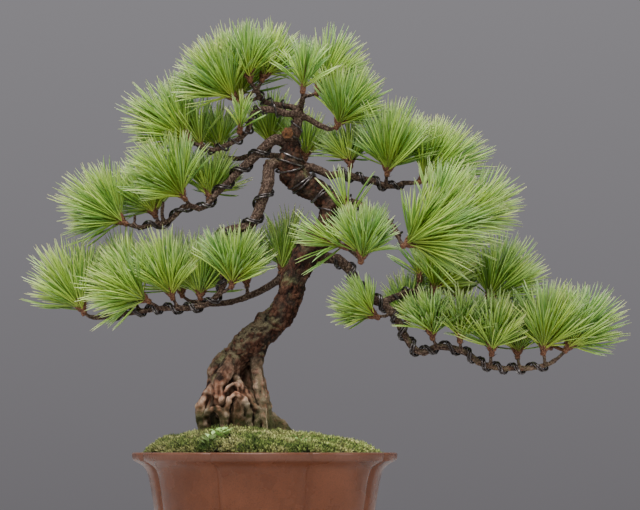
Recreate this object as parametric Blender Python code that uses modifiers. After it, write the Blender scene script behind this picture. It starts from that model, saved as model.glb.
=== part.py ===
"""Wired two-needle pine bonsai in a lobed clay pot: one object for each separate piece.

Metres, +Z up, the viewer looks along +Y. The tree is laid out in tree units, 1/412 of its
height over the rim of the pot, from the pot's axis and the rim's level. The last function
moves the whole model so that its origin is the bottom centre of its bounding box.
"""
from math import cos, pi, radians, sin, sqrt, tau

import bmesh
import bpy
import numpy as np
from mathutils import Vector
from mathutils.bvhtree import BVHTree

# Driving dimensions.
POT_WIDTH = 0.250
POT_HEIGHT = 0.095
POT_WALL = 0.007
TREE_HEIGHT = 0.412
TRUNK_GIRTH = 0.036
NEEDLE_LENGTH = 0.058
WIRE_DIAMETER = 0.0028

# Sizes that follow from them or rarely change.
FIT_GAP = 0.0003
LOBES = 8
LOBE_STEPS = 4
LOBE_RADIUS = 0.75
LOBE_OFFSET = 0.25
FOOT_HEIGHT = 0.007
FLOOR_THICKNESS = 0.007
DRAIN_RADIUS = 0.009
DRAIN_OFFSET = 0.034
MESH_SIDE = 0.030
MESH_THICKNESS = 0.0012
CLIP_DIAMETER = 0.0014
WIRE_CLEARANCE = 0.0007
WIRE_POINTS_PER_TURN = 7
TWIG_RADIUS = 0.0019
TWIG_RISE = 10
SHEATH_RADIUS = 0.0021
TUFT_SPREAD = 0.33
TUFT_SIDES = 10
TUFT_STEP = 0.93
TUFT_LEAST = 0.30

UNIT = TREE_HEIGHT / 412
GIRTH = TRUNK_GIRTH / 0.036 * 0.001
RIM = POT_HEIGHT
POT_RADIUS = POT_WIDTH / 2

# The trunk's centre line and radius (x, y, z over the rim, radius), from the root plate up.
TRUNK = [
    (-40, 6, -16, 14), (-40, 6, 10, 15), (-39, 5, 40, 13.5), (-37, 4, 62, 12), (-33, 2, 78, 12),
    (-25, 0, 92, 13), (-13, 0, 105, 14), (3, 0, 118, 13.7), (15, 0, 131, 13.6), (23, 0, 146, 12.8),
    (27, 0, 164, 12.6), (35, 0, 181, 13.2), (44, 0, 194, 13), (56, 0, 210, 12),
    (63, 0, 224, 11.6), (61, 0, 238, 11.6), (50, 0, 248, 11.6), (36, 0, 255, 11.6),
    (25, 0, 265, 12), (23, 0, 277, 11.6), (25, 0, 289, 9.5), (26, 0, 300, 8), (30, 0, 313, 5),
    (33, 0, 328, 3.6), (36, 0, 340, 2.4),
]

# Surface roots that carry the trunk: they leave it high up and dive into the soil.
ROOTS = {
    "right_leg": [(-4, -2, 106, 9), (-7, -4, 92, 7), (-9, -5, 80, 5.8), (-6.5, -6, 66, 6.2),
                  (-4.5, -6, 53, 6.6), (-1, -6, 40, 7.2), (3, -8, 26, 7), (6, -10, 8, 6.5),
                  (8, -12, -8, 5)],
    "right_mound": [(-2, 2, 36, 8), (8, 1, 27, 8), (16, 2, 22, 7.5), (24, 3, 15, 7),
                    (32, 4, 6, 6), (38, 5, -6, 4)],
    "left_outer": [(-33, 0, 92, 9), (-43, -4, 84, 8.5), (-47.5, -6, 76, 7.6), (-47, -8, 68, 7),
                   (-50, -8, 60, 5.8), (-57, -8, 51, 5), (-60, -9, 42, 5.8), (-58.5, -10, 34, 6.4),
                   (-56, -10, 22, 7), (-56, -12, 6, 7), (-57, -14, -8, 5)],
    "left_front": [(-31, -8, 88, 8), (-35, -13, 81, 8), (-38, -16, 73, 7.5), (-41.5, -17, 64, 7.2),
                   (-43.5, -16, 56, 6.4), (-42, -10, 46, 6), (-38, -6, 32, 7), (-36, -8, 8, 8),
                   (-36, -12, -8, 5)],
    "low_rootlet": [(-58, -14, 32, 3.6), (-52, -21, 38, 3.4), (-46, -25, 41, 3.6),
                    (-41, -26, 39, 3.8), (-38, -25, 31, 3.6), (-37, -24, 18, 3.4),
                    (-37, -24, 4, 3)],
    "arched_rootlet": [(-40, -17, 42, 2.4), (-39.5, -23, 50, 2.4), (-35.5, -26, 58.5, 2.4),
                       (-29, -26, 63.5, 2.4), (-23, -23, 62.5, 2.4), (-19, -16, 58, 2.6)],
    "looped_rootlet": [(-35, -24, 34, 2.6), (-34.5, -28, 43, 2.5), (-31.5, -30, 51, 2.5),
                       (-27, -30, 55.5, 2.6), (-19.5, -29, 50.5, 2.8), (-14, -27, 41, 2.8),
                       (-14, -24, 31, 3), (-13, -24, 14, 3), (-13, -25, 0, 2.5)],
    "inner_rootlet": [(-27, -24, 54, 2.2), (-23, -26, 51, 2.2), (-20.5, -25, 42, 2.2),
                      (-22, -22, 30, 2.6), (-22, -22, 8, 2.6)],
    "centre_front": [(-30, -4, 76, 5), (-26, -8, 66, 5), (-22, -12, 58, 6.5), (-22, -14, 46, 8.5),
                     (-24, -14, 30, 10), (-22, -16, 10, 9), (-20, -18, -8, 5)],
    "cross_rootlet": [(-22, -14, 60, 4), (-16.5, -15, 56, 4), (-10, -17, 44, 3.6),
                      (-3.5, -18, 37, 3.2), (1, -20, 27, 3), (2, -22, 14, 2.8), (2, -22, 2, 2.4)],
    "foot_rootlet": [(-10, -12, 42, 3), (-8, -18, 33, 3), (-6.5, -21, 22, 2.8), (-5.5, -22, 10, 2.8),
                     (-5, -22, 0, 2.4)],
    "back_left": [(-36, 10, 84, 7), (-46, 18, 62, 7), (-50, 24, 40, 8), (-54, 30, 18, 8),
                  (-58, 36, -4, 6)],
    "back_right": [(-12, 8, 92, 7), (-6, 16, 66, 7), (-2, 22, 40, 8), (8, 28, 16, 8),
                   (16, 34, -4, 6)],
    "back_wall": [(-24, 10, 96, 8), (-20, 15, 80, 8.5), (-18, 17, 62, 8.5), (-14, 17, 40, 8.5),
                  (-12, 16, 18, 8), (-12, 16, -6, 6)],
    "back_middle": [(-28, 12, 80, 7), (-28, 22, 54, 8), (-27, 28, 30, 8.5), (-28, 36, 6, 7),
                    (-28, 40, -8, 5)],
}

# What the roots take up at the soil: centre, reach either way, and a height clear of the soil.
ROOT_CENTRE = (-19, 2)
ROOT_REACH = (53, 49)
ROOT_TOP = 60

# Branches, each from inside the wood that carries it to its tip.
BRANCHES = {
    "left_lower": [
        (18, 0, 276, 7), (4, -3, 273, 6.6), (3, -8, 256, 6.2), (-2, -10, 241, 5.9),
        (-6, -11, 228, 5.5), (-11, -12, 217, 5.2), (-19, -12, 212, 5), (-30, -10, 211, 4.8),
        (-39, -8, 208, 4.6), (-44, -7, 201, 4.4), (-45, -6, 192, 4.1), (-42, -4, 176, 3.8),
        (-39, -2, 160, 3.5), (-43, -1, 151, 3.4), (-55, 0, 140, 3.4), (-67, 0, 137, 3.3),
        (-82, 0, 136, 3.2), (-100, 0, 136, 3.1), (-119, -2, 133, 3), (-138, -4, 130, 2.8),
        (-156, -3, 127, 2.6), (-166, 0, 128, 2.4)],
    "left_middle": [
        (20, 0, 296, 6.2), (9, -2, 298, 5.8), (2, -3, 293, 5.4), (-7, -3, 284, 5),
        (-18, -1, 274, 4.6), (-27, 0, 266, 4.2), (-35, 0, 257, 3.8), (-47, 0, 246, 3.5),
        (-56, 0, 234, 3.2), (-63, 0, 231, 3.1), (-71, 0, 234, 3.1), (-78, 0, 233, 3),
        (-84, 0, 227, 3), (-91, 0, 220, 2.9), (-100, 0, 216, 2.8), (-109, 0, 216, 2.6),
        (-117, 0, 213, 2.5), (-127, 0, 215, 2.3)],
    "left_upper": [
        (30, -2, 322, 4), (19, -6, 322, 3.8), (9, -8, 325, 3.6), (-3, -9, 326, 3.4),
        (-12, -8, 322, 3.2), (-15, -6, 313, 3.1), (-17, -4, 305, 3), (-24, -2, 299, 3),
        (-38, 0, 292, 2.8), (-47, 0, 288, 2.7), (-57, 0, 288, 2.6), (-64, 0, 292, 2.5)],
    "crown_left": [
        (32, 3, 328, 3.6), (23, 8, 331, 3.4), (12, 11, 333, 3.3), (0, 10, 335, 3.1),
        (-6, 6, 340, 2.9), (-9, 1, 346, 2.7)],
    "crown_right": [(32, 0, 322, 3.6), (42, -1, 317, 3.4), (52, -2, 311, 3.2), (61, -3, 307, 3)],
    "right_upper": [
        (28, 0, 272, 5), (44, 0, 271, 4.6), (54, 0, 267, 4.4), (62, 0, 263, 4.2), (71, 0, 265, 4),
        (80, 0, 263, 3.8), (90, 0, 260, 3.6), (99, 0, 259, 3.4), (107, 0, 256, 3.2),
        (114, 0, 253, 3.1), (124, 0, 253, 2.9), (131, 0, 256, 2.8), (140, 0, 256, 2.6)],
    "right_middle": [
        (58, -2, 240, 5), (72, -8, 239, 4.6), (88, -16, 234, 4.3), (98, -24, 227, 4),
        (105, -30, 221, 3.8), (114, -38, 215, 3.6), (121, -46, 208, 3.4), (125, -54, 199, 3.2)],
    "right_lower": [
        (44, 0, 188, 6), (60, -1, 184, 5.8), (69, -2, 183, 5.6), (76, -2, 177, 5.4),
        (82, -2, 170, 5.2), (88, -2, 158, 5), (93, -1, 149, 4.9), (104, 0, 144, 4.8),
        (114, 0, 139, 4.6), (120, 0, 132, 4.4), (126, 0, 125, 4.3), (131, 0, 113, 4.1),
        (137, 0, 103, 4), (143, 0, 96, 3.9), (150, 0, 94, 3.8), (163, 0, 100, 3.7),
        (175, 0, 99, 3.6), (186, 0, 96, 3.5), (194, 0, 92, 3.4), (202, 0, 85, 3.3),
        (213, 0, 81, 3.2), (227, 0, 79, 3.1), (241, 0, 79, 3), (255, 0, 80, 2.8),
        (266, 0, 82, 2.7), (275, 0, 87, 2.5)],
    "right_inner": [
        (110, 0, 141, 3.8), (125, 6, 148, 3.6), (142, 8, 153, 3.4), (156, 6, 144, 3.3),
        (166, 4, 137, 3.2), (180, 2, 134, 3), (194, 0, 133, 2.8), (203, 0, 136, 2.6)],
    "front": [(46, -2, 196, 4), (56, -18, 197, 3.6), (68, -34, 194, 3.3), (80, -48, 188, 3),
              (87, -60, 180, 2.7)],
    "back_left": [
        (26, 4, 170, 5), (20, 22, 168, 4.4), (8, 42, 164, 4), (-8, 56, 156, 3.6),
        (-30, 64, 148, 3.3), (-55, 68, 145, 3), (-76, 70, 148, 2.6)],
    "back_upper": [
        (24, 3, 282, 4.5), (16, 22, 284, 4), (6, 40, 288, 3.6), (-10, 48, 290, 3.2),
        (-28, 48, 286, 2.8), (-38, 44, 286, 2.5)],
}

# Short snags: a knot and a sawn branch on the trunk, and two dead twigs.
SNAGS = {
    "knot": ("trunk", [(6, 0, 121, 6.5), (-8, -3, 129, 5.5)]),
    "sawn_branch": ("trunk", [(26, 0, 300, 7), (21, -14, 302, 6.4)]),
    "snag_outer": ("left_middle", [(-125, 0, 215, 2), (-124, -3, 226, 1.6)]),
    "snag_middle": ("left_middle", [(-97, 0, 216, 2.2), (-98, -5, 227, 2), (-97, -6, 238, 1.7)]),
}

# Wired branches: where the wire starts and ends, in units from the branch's own ends, and its
# run along the branch in one turn.
WIRED = {
    "left_lower": (22, 7, 0.026), "left_middle": (18, 6, 0.024), "left_upper": (16, 6, 0.014),
    "crown_left": (12, 4, 0.013), "right_upper": (29, 6, 0.017), "right_middle": (18, 5, 0.018),
    "right_lower": (22, 7, 0.021), "right_inner": (14, 5, 0.016),
}

# Needle tufts: carrying wood, base (x, y, z), direction (x, y, z), length against NEEDLE_LENGTH.
TUFTS = {
    "lower_left_1": ("left_lower", (-173, 0, 134), (-30, -4, 56), 1.12),
    "lower_left_2": ("left_lower", (-128, 4, 154), (-10, 16, 43), 0.95),
    "lower_left_3": ("left_lower", (-112, -14, 143), (-52, -22, 22), 1.05),
    "lower_left_4": ("left_lower", (-88, -8, 148), (-12, -14, 45), 1.0),
    "lower_left_5": ("left_lower", (-62, 4, 148), (-3, 14, 48), 0.95),
    "lower_left_6": ("left_lower", (-31, -16, 158), (12, -22, 42), 0.9),
    "back_left_1": ("back_left", (14, 58, 178), (12, 10, 48), 0.95),
    "back_left_2": ("back_left", (-20, 68, 166), (-4, 12, 48), 0.95),
    "back_left_3": ("back_left", (-84, 70, 156), (-14, 8, 46), 1.0),
    "middle_left_1": ("left_middle", (-135, 0, 218), (-47, -6, 26), 1.08),
    "middle_left_2": ("left_middle", (-106, 4, 227), (-16, 16, 43), 1.0),
    "middle_left_3": ("left_middle", (-78, -8, 242), (-34, -22, 42), 1.05),
    "middle_left_4": ("left_middle", (-54, 12, 244), (10, 20, 38), 0.85),
    "upper_left_1": ("left_upper", (-74, 0, 298), (-43, -4, 30), 1.1),
    "upper_left_2": ("back_upper", (-46, 42, 294), (-4, 10, 32), 0.75),
    "upper_left_3": ("left_upper", (-24, -14, 306), (4, -14, 24), 0.5),
    "crown_1": ("crown_left", (-30, -10, 336), (-32, -14, 40), 1.05),
    "crown_2": ("crown_left", (-26, 14, 340), (-10, 10, 56), 1.15),
    "crown_3": ("crown_left", (-15, -8, 356), (-6, -12, 45), 0.85),
    "crown_4": ("crown_left", (-3, 8, 359), (13, 6, 43), 0.9),
    "crown_5": ("trunk", (36, -42, 340), (3, -14, 38), 0.75),
    "crown_6": ("trunk", (50, 2, 345), (21, 4, 46), 1.0),
    "crown_7": ("crown_right", (69, -6, 311), (21, -14, 33), 0.95),
    "back_upper_1": ("back_upper", (38, 46, 288), (4, 12, 30), 0.75),
    "back_upper_2": ("back_upper", (3, 56, 302), (2, 10, 40), 0.85),
    "upper_right_1": ("right_upper", (81, 8, 276), (-2, 18, 36), 0.75),
    "upper_right_2": ("right_upper", (116, -8, 266), (4, -10, 58), 1.1),
    "upper_right_3": ("right_upper", (148, 0, 258), (52, 2, 34), 1.15),
    "middle_right_1": ("right_middle", (131, -62, 191), (66, -20, 38), 1.25),
    "middle_right_2": ("front", (79, -31, 218), (-8, -8, 43), 0.85),
    "middle_right_3": ("front", (74, -60, 189), (-43, -14, 14), 0.80),
    "middle_right_4": ("front", (90, -70, 177), (10, -18, 40), 0.85),
    "lower_right_1": ("right_lower", (104, -12, 128), (-30, -10, 13), 0.7),
    "lower_right_2": ("right_lower", (136, 14, 125), (2, 20, 40), 0.85),
    "lower_right_3": ("right_inner", (147, 8, 166), (-2, 6, 34), 0.65),
    "lower_right_4": ("right_inner", (160, -8, 153), (12, -16, 38), 0.85),
    "lower_right_5": ("right_inner", (186, 12, 146), (-6, 18, 42), 0.95),
    "lower_right_6": ("right_inner", (212, 4, 144), (20, 6, 42), 1.1),
    "lower_right_7": ("right_lower", (158, -12, 110), (-2, -22, 31), 0.75),
    "lower_right_8": ("right_lower", (184, -12, 107), (1, -20, 36), 0.75),
    "lower_right_9": ("right_lower", (214, -10, 95), (4, -20, 40), 0.9),
    "lower_right_10": ("right_lower", (240, 8, 93), (4, 12, 50), 1.0),
    "lower_right_11": ("right_lower", (263, -8, 96), (6, -8, 54), 1.05),
    "lower_right_12": ("right_lower", (286, 0, 98), (34, 0, 42), 1.05),
}

CLAY = ("clay", (0.168, 0.056, 0.031), 0.52, 0.0)
BARK = ("bark", (0.120, 0.062, 0.042), 0.90, 0.0)
NEEDLES = ("needles", (0.160, 0.330, 0.050), 0.50, 0.0)
MOSS = ("moss", (0.170, 0.210, 0.030), 0.95, 0.0)
SOIL = ("soil", (0.070, 0.045, 0.030), 0.95, 0.0)
ANODISED = ("anodised_wire", (0.045, 0.034, 0.034), 0.35, 0.9)
NETTING = ("netting", (0.020, 0.022, 0.022), 0.60, 0.0)
ALUMINIUM = ("aluminium", (0.600, 0.600, 0.600), 0.35, 1.0)


def clear_scene():
    for obj in list(bpy.data.objects):
        bpy.data.objects.remove(obj)


def new_collection(name):
    collection = bpy.data.collections.new(name)
    bpy.context.scene.collection.children.link(collection)
    return collection


def material(recipe):
    name, colour, roughness, metallic = recipe
    mat = bpy.data.materials.get(name) or bpy.data.materials.new(name)
    mat.use_nodes = True
    shader = mat.node_tree.nodes["Principled BSDF"]
    shader.inputs["Base Color"].default_value = (*colour, 1.0)
    shader.inputs["Roughness"].default_value = roughness
    shader.inputs["Metallic"].default_value = metallic
    mat.diffuse_color = (*colour, 1.0)
    return mat


def add_part(obj, recipe):
    """Put a finished object among the parts, under the model's root."""
    parts.objects.link(obj)
    obj.parent = root
    obj.data.materials.append(material(recipe))
    if hasattr(obj.data, "shade_smooth"):
        obj.data.shade_smooth()
        obj.data.set_sharp_from_angle(angle=radians(40))
    return obj


def add_cutter(obj, collection=None):
    """Put a helper shape out of the build, under the model's root."""
    (collection or cutters).objects.link(obj)
    obj.parent = root
    obj.hide_render = True
    obj.display_type = "WIRE"
    return obj


def boolean(obj, operation, other):
    mod = obj.modifiers.new(operation.lower(), "BOOLEAN")
    mod.operation = operation
    mod.solver = "EXACT"
    if isinstance(other, bpy.types.Collection):
        mod.operand_type = "COLLECTION"
        mod.collection = other
    else:
        mod.object = other
    return mod


def as_mesh(obj):
    """The object's evaluated shape as a plain welded mesh, in a new object."""
    bpy.context.scene.collection.objects.link(obj)
    bpy.context.view_layer.update()
    evaluated = obj.evaluated_get(bpy.context.evaluated_depsgraph_get())
    mesh = bpy.data.meshes.new_from_object(evaluated)
    bm = bmesh.new()
    bm.from_mesh(mesh)
    bmesh.ops.remove_doubles(bm, verts=bm.verts, dist=1e-6)
    bmesh.ops.recalc_face_normals(bm, faces=bm.faces)
    bm.to_mesh(mesh)
    bm.free()
    solid = bpy.data.objects.new(obj.name, mesh)
    solid.matrix_world = obj.matrix_world
    name = obj.name
    bpy.data.objects.remove(obj)
    solid.name = name
    return solid


# Paths.


def place(points):
    """Layout points (x, y, z over the rim, radius) in metres."""
    rows = np.array(points, float)
    rows[:, :3] *= UNIT
    rows[:, 2] += RIM
    rows[:, 3] *= GIRTH
    return rows


def smooth(rows, spacing):
    """A Catmull-Rom path through the rows, with a row about every spacing metres."""
    ends = np.vstack([2 * rows[0] - rows[1], rows, 2 * rows[-1] - rows[-2]])
    path = []
    for a, b, c, d in zip(ends, ends[1:], ends[2:], ends[3:]):
        count = max(1, round(np.linalg.norm((c - b)[:3]) / spacing))
        for t in np.arange(count) / count:
            bend = (2 * a - 5 * b + 4 * c - d) * t * t + (3 * b - a - 3 * c + d) * t ** 3
            path.append(b + 0.5 * ((c - a) * t + bend))
    return np.vstack([path, rows[-1]])


def along(path):
    """The distance from the path's start to each of its points."""
    steps = np.linalg.norm(np.diff(path[:, :3], axis=0), axis=1)
    return np.concatenate([[0.0], np.cumsum(steps)])


def unit(vector):
    return np.asarray(vector, float) / np.linalg.norm(vector)


def frames(path):
    """Unit tangents of a path and two steady directions square to each of them."""
    tangents = np.array([unit(v) for v in np.gradient(path[:, :3], axis=0)])
    side = unit(np.cross(tangents[0], (0.1, 1.0, 0.2)))
    sides = []
    for tangent in tangents:
        side = unit(side - tangent * (side @ tangent))
        sides.append(side)
    sides = np.array(sides)
    return tangents, sides, np.cross(tangents, sides)


def tube(name, path, sides, grow=0.0):
    """A closed tube along a path, with the radius of each point."""
    curve = bpy.data.curves.new(name, "CURVE")
    curve.dimensions = "3D"
    curve.bevel_depth = 1.0
    curve.bevel_resolution = (sides - 4) // 2
    curve.use_fill_caps = True
    curve.twist_mode = "MINIMUM"
    points = path.copy()
    points[0, :3] -= grow * unit(path[1, :3] - path[0, :3])
    points[-1, :3] += grow * unit(path[-1, :3] - path[-2, :3])
    spline = curve.splines.new("POLY")
    spline.points.add(len(points) - 1)
    for point, (x, y, z, radius) in zip(spline.points, points):
        point.co = (x, y, z, 1.0)
        point.radius = radius + grow
    return as_mesh(bpy.data.objects.new(name, curve))


# Wood.


def nearest(path, spot):
    return int(np.argmin(np.linalg.norm(path[:, :3] - spot, axis=1)))


def twig_path(limb, name):
    """A twig from the nearest stretch of its branch to the base of its tuft."""
    _, base, direction, _ = TUFTS[name]
    heading = unit(direction)
    tip = place([(*base, 1)])[0, :3] - heading * FIT_GAP
    spot = tip - heading * TWIG_RISE * UNIT
    start = limb[nearest(limb, spot), :3]
    reach = np.linalg.norm(tip - start)
    bow = start + heading * reach * 0.15
    neck = tip - heading * reach * 0.5
    collar = tip - heading * TWIG_RADIUS
    rows = []
    for t in np.linspace(0, 1, max(3, round(reach / 0.009) + 1)):
        point = (start * (1 - t) ** 3 + bow * 3 * t * (1 - t) ** 2
                 + neck * 3 * t * t * (1 - t) + collar * t ** 3)
        rows.append((*point, TWIG_RADIUS * (1.15 - 0.15 * t)))
    return np.array(rows + [(*tip, TWIG_RADIUS)])


def grow_tree():
    """Paths of the branches, and of the twigs with the branches that carry them."""
    limbs = {"trunk": smooth(place(TRUNK), 0.013)}
    for name, points in BRANCHES.items():
        limbs[name] = smooth(place(points), 0.010)
    twigs = {}
    for name, (carrier, *_) in TUFTS.items():
        twigs[name] = (carrier, twig_path(limbs[carrier], name))
    return limbs, twigs


def wood_shapes(limbs, twigs):
    """Roots, snags, branches and twigs as separate shapes, for the trunk to take in."""
    grown = new_collection("wood_shapes")
    for name, points in ROOTS.items():
        add_cutter(tube(f"root_{name}", smooth(place(points), 0.016), 8), grown)
    for name, (_, points) in SNAGS.items():
        add_cutter(tube(name, place(points), 6), grown)
    for name in BRANCHES:
        add_cutter(tube(f"limb_{name}", limbs[name], 6), grown)
    for name, (_, path) in twigs.items():
        add_cutter(tube(f"twig_{name}", path, 6), grown)
    return grown


def wood(trunk, grown):
    """Trunk, roots, branches and twigs, grown together in one piece."""
    boolean(trunk, "UNION", grown)
    add_part(trunk, BARK)


def wire_room(limb, trunk):
    """How far along a branch its wire can start without touching the trunk."""
    room = WIRE_DIAMETER + 2 * WIRE_CLEARANCE
    for at, (*centre, radius) in zip(along(limb), limb):
        gaps = np.linalg.norm(trunk[:, :3] - centre, axis=1) - trunk[:, 3] - radius
        if gaps.min() > room:
            return at
    return along(limb)[-1]


def wire(name, limb, exits):
    """A wire wound round a branch, always on the far side of the twigs that it passes."""
    tangents, sides, ups = frames(limb)
    run = along(limb)
    start, end, pitch = WIRED[name]
    start = max(start * UNIT, wire_room(limb, smooth(place(TRUNK), 0.003)))
    end *= UNIT
    knots = [(start, 0.0)]
    for station, heading in sorted(exits, key=lambda item: item[0]):
        if not start + 0.004 < run[station] < run[-1] - end:
            continue
        facing = np.arctan2(heading @ ups[station], heading @ sides[station]) + pi
        before, turned_by = knots[-1]
        wanted = turned_by + (run[station] - before) / pitch * tau
        facing += round((wanted - facing) / tau) * tau
        if len(knots) == 1:
            knots = [(start, facing - (run[station] - start) / pitch * tau)]
        knots.append((run[station], facing))
    before, turned_by = knots[-1]
    knots.append((run[-1] - end, turned_by + (run[-1] - end - before) / pitch * tau))
    places, angles = np.array(knots).T
    count = round((angles[-1] - angles[0]) / tau * WIRE_POINTS_PER_TURN)
    rows = []
    for angle in np.linspace(angles[0], angles[-1], count + 1):
        at = np.interp(angle, angles, places)
        centre = [np.interp(at, run, limb[:, axis]) for axis in range(3)]
        thickness = np.interp(at, run, limb[:, 3])
        side = unit([np.interp(at, run, sides[:, axis]) for axis in range(3)])
        up = unit([np.interp(at, run, ups[:, axis]) for axis in range(3)])
        reach = (thickness + WIRE_CLEARANCE + WIRE_DIAMETER / 2) / cos(pi / WIRE_POINTS_PER_TURN)
        rows.append((*(centre + reach * (cos(angle) * side + sin(angle) * up)), WIRE_DIAMETER / 2))
    add_part(tube(f"wire_{name}", np.array(rows), 4), ANODISED)


def wires(limbs, twigs):
    for name in WIRED:
        limb = limbs[name]
        leaving = [path for carrier, path in twigs.values() if carrier == name]
        leaving += [place(points) for carrier, points in SNAGS.values() if carrier == name]
        if name == "right_lower":
            leaving.append(limbs["right_inner"])
        exits = [(nearest(limb, path[0, :3]), unit(path[1, :3] - path[0, :3]))
                 for path in leaving]
        wire(name, limb, exits)


# Foliage.


def turned(name, profile, steps):
    """A profile at +X, from its inner side over the top and down the outer side, turned."""
    mesh = bpy.data.meshes.new(name)
    bm = bmesh.new()
    verts = [bm.verts.new((radius, 0, z)) for radius, z in profile]
    for first, second in zip(verts, verts[1:]):
        bm.edges.new((first, second))
    bm.to_mesh(mesh)
    bm.free()
    obj = bpy.data.objects.new(name, mesh)
    screw = obj.modifiers.new("turn", "SCREW")
    screw.steps = screw.render_steps = steps
    screw.use_merge_vertices = True
    screw.merge_threshold = 1e-5
    return as_mesh(obj)


def tuft(name, base, direction, size, spread):
    """One shoot's needles: a brush with a sheathed foot, a hollow top and a jagged rim."""
    length = NEEDLE_LENGTH * size
    spread *= length
    profile = [(0, length * 0.80), (spread, length), (spread * 0.60, length * 0.40),
               (SHEATH_RADIUS, 0), (0, 0)]
    obj = turned(f"needles_{name}", profile, TUFT_SIDES)
    rim = [vert for vert in obj.data.vertices if vert.co.z > length * 0.9]
    for vert in rim:
        turn = round(np.arctan2(vert.co.y, vert.co.x) / tau * TUFT_SIDES)
        if turn % 2:
            vert.co.z *= 0.86
    obj.location = place([(*base, 1)])[0, :3]
    obj.rotation_euler = Vector(direction).to_track_quat("Z", "Y").to_euler()
    return obj


def surface(obj):
    """An object's faces where it stands, to test others against."""
    bm = bmesh.new()
    bm.from_mesh(obj.data)
    bm.transform(obj.matrix_basis)
    faces = BVHTree.FromBMesh(bm)
    bm.free()
    return faces


def tufts(obstacles):
    """Every tuft, as full as the wood, the wires and the tufts before it leave room for."""
    for name, (_, base, direction, size) in TUFTS.items():
        spread = TUFT_SPREAD
        brush = tuft(name, base, direction, size, spread)
        while spread > TUFT_SPREAD * TUFT_LEAST:
            faces = surface(brush)
            if not any(faces.overlap(other) for other in obstacles):
                break
            spread *= TUFT_STEP
            bpy.data.objects.remove(brush)
            brush = tuft(name, base, direction, size, spread)
        obstacles.append(surface(brush))
        add_part(brush, NEEDLES)


# Pot, soil and moss.


def lobe(angle):
    """The pot's outline against its outer radius: arcs that meet in shallow creases."""
    within = (angle + pi / LOBES) % (tau / LOBES) - pi / LOBES
    return LOBE_OFFSET * cos(within) + sqrt(LOBE_RADIUS ** 2 - (LOBE_OFFSET * sin(within)) ** 2)


def lobed(obj):
    for vert in obj.data.vertices:
        factor = lobe(np.arctan2(vert.co.y, vert.co.x))
        vert.co.x *= factor
        vert.co.y *= factor
    return obj


def pot_inside():
    """The inner wall from the floor to the rim, one wall inside the outer one."""
    floor = FOOT_HEIGHT + FLOOR_THICKNESS
    return [
        (POT_RADIUS * 0.70 - POT_WALL, floor), (POT_RADIUS * 0.76 - POT_WALL, floor + 0.004),
        (POT_RADIUS * 0.80 - POT_WALL, POT_HEIGHT * 0.35),
        (POT_RADIUS * 0.84 - POT_WALL, POT_HEIGHT * 0.60),
        (POT_RADIUS * 0.875 - POT_WALL, POT_HEIGHT * 0.80),
        (POT_RADIUS * 0.955 - POT_WALL, POT_HEIGHT * 0.93),
        (POT_RADIUS * 0.960 - POT_WALL, POT_HEIGHT * 0.99),
    ]


def pot():
    """Unglazed pot: flared lobed lip, waisted neck, four low feet, two drainage holes."""
    outside = [
        (POT_RADIUS * 0.975, POT_HEIGHT), (POT_RADIUS, POT_HEIGHT * 0.988),
        (POT_RADIUS * 0.990, POT_HEIGHT * 0.935), (POT_RADIUS * 0.962, POT_HEIGHT * 0.905),
        (POT_RADIUS * 0.925, POT_HEIGHT * 0.880), (POT_RADIUS * 0.885, POT_HEIGHT * 0.810),
        (POT_RADIUS * 0.860, POT_HEIGHT * 0.680), (POT_RADIUS * 0.830, POT_HEIGHT * 0.430),
        (POT_RADIUS * 0.785, POT_HEIGHT * 0.200), (POT_RADIUS * 0.735, POT_HEIGHT * 0.085),
        (POT_RADIUS * 0.730, 0), (POT_RADIUS * 0.640, 0), (POT_RADIUS * 0.620, FOOT_HEIGHT),
        (0, FOOT_HEIGHT),
    ]
    inside = pot_inside()
    rim = [(inside[-1][0] + 0.0015, POT_HEIGHT)]
    floor = [(0, inside[0][1])]
    body = lobed(turned("pot", floor + inside + rim + outside, LOBES * LOBE_STEPS))
    for name, spin in (("foot_gap_x", 0.0), ("foot_gap_y", pi / 2)):
        cut = box_cutter(name, (POT_WIDTH, POT_RADIUS * 0.55, FOOT_HEIGHT * 1.4))
        cut.rotation_euler.z = spin
        boolean(body, "DIFFERENCE", cut)
    for side in (-1, 1):
        hole = cylinder_cutter(f"drain_{side}", DRAIN_RADIUS, FLOOR_THICKNESS * 4)
        hole.location = (side * DRAIN_OFFSET, 0, FOOT_HEIGHT + FLOOR_THICKNESS / 2)
        boolean(body, "DIFFERENCE", hole)
    add_part(body, CLAY)


def box_cutter(name, size):
    mesh = bpy.data.meshes.new(name)
    bm = bmesh.new()
    bmesh.ops.create_cube(bm, size=1.0)
    bmesh.ops.scale(bm, vec=size, verts=bm.verts)
    bm.to_mesh(mesh)
    bm.free()
    return add_cutter(bpy.data.objects.new(name, mesh))


def cylinder_cutter(name, radius, height, sides=20):
    mesh = bpy.data.meshes.new(name)
    bm = bmesh.new()
    bmesh.ops.create_cone(bm, cap_ends=True, segments=sides, radius1=radius, radius2=radius,
                          depth=height)
    bm.to_mesh(mesh)
    bm.free()
    return add_cutter(bpy.data.objects.new(name, mesh))


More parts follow.
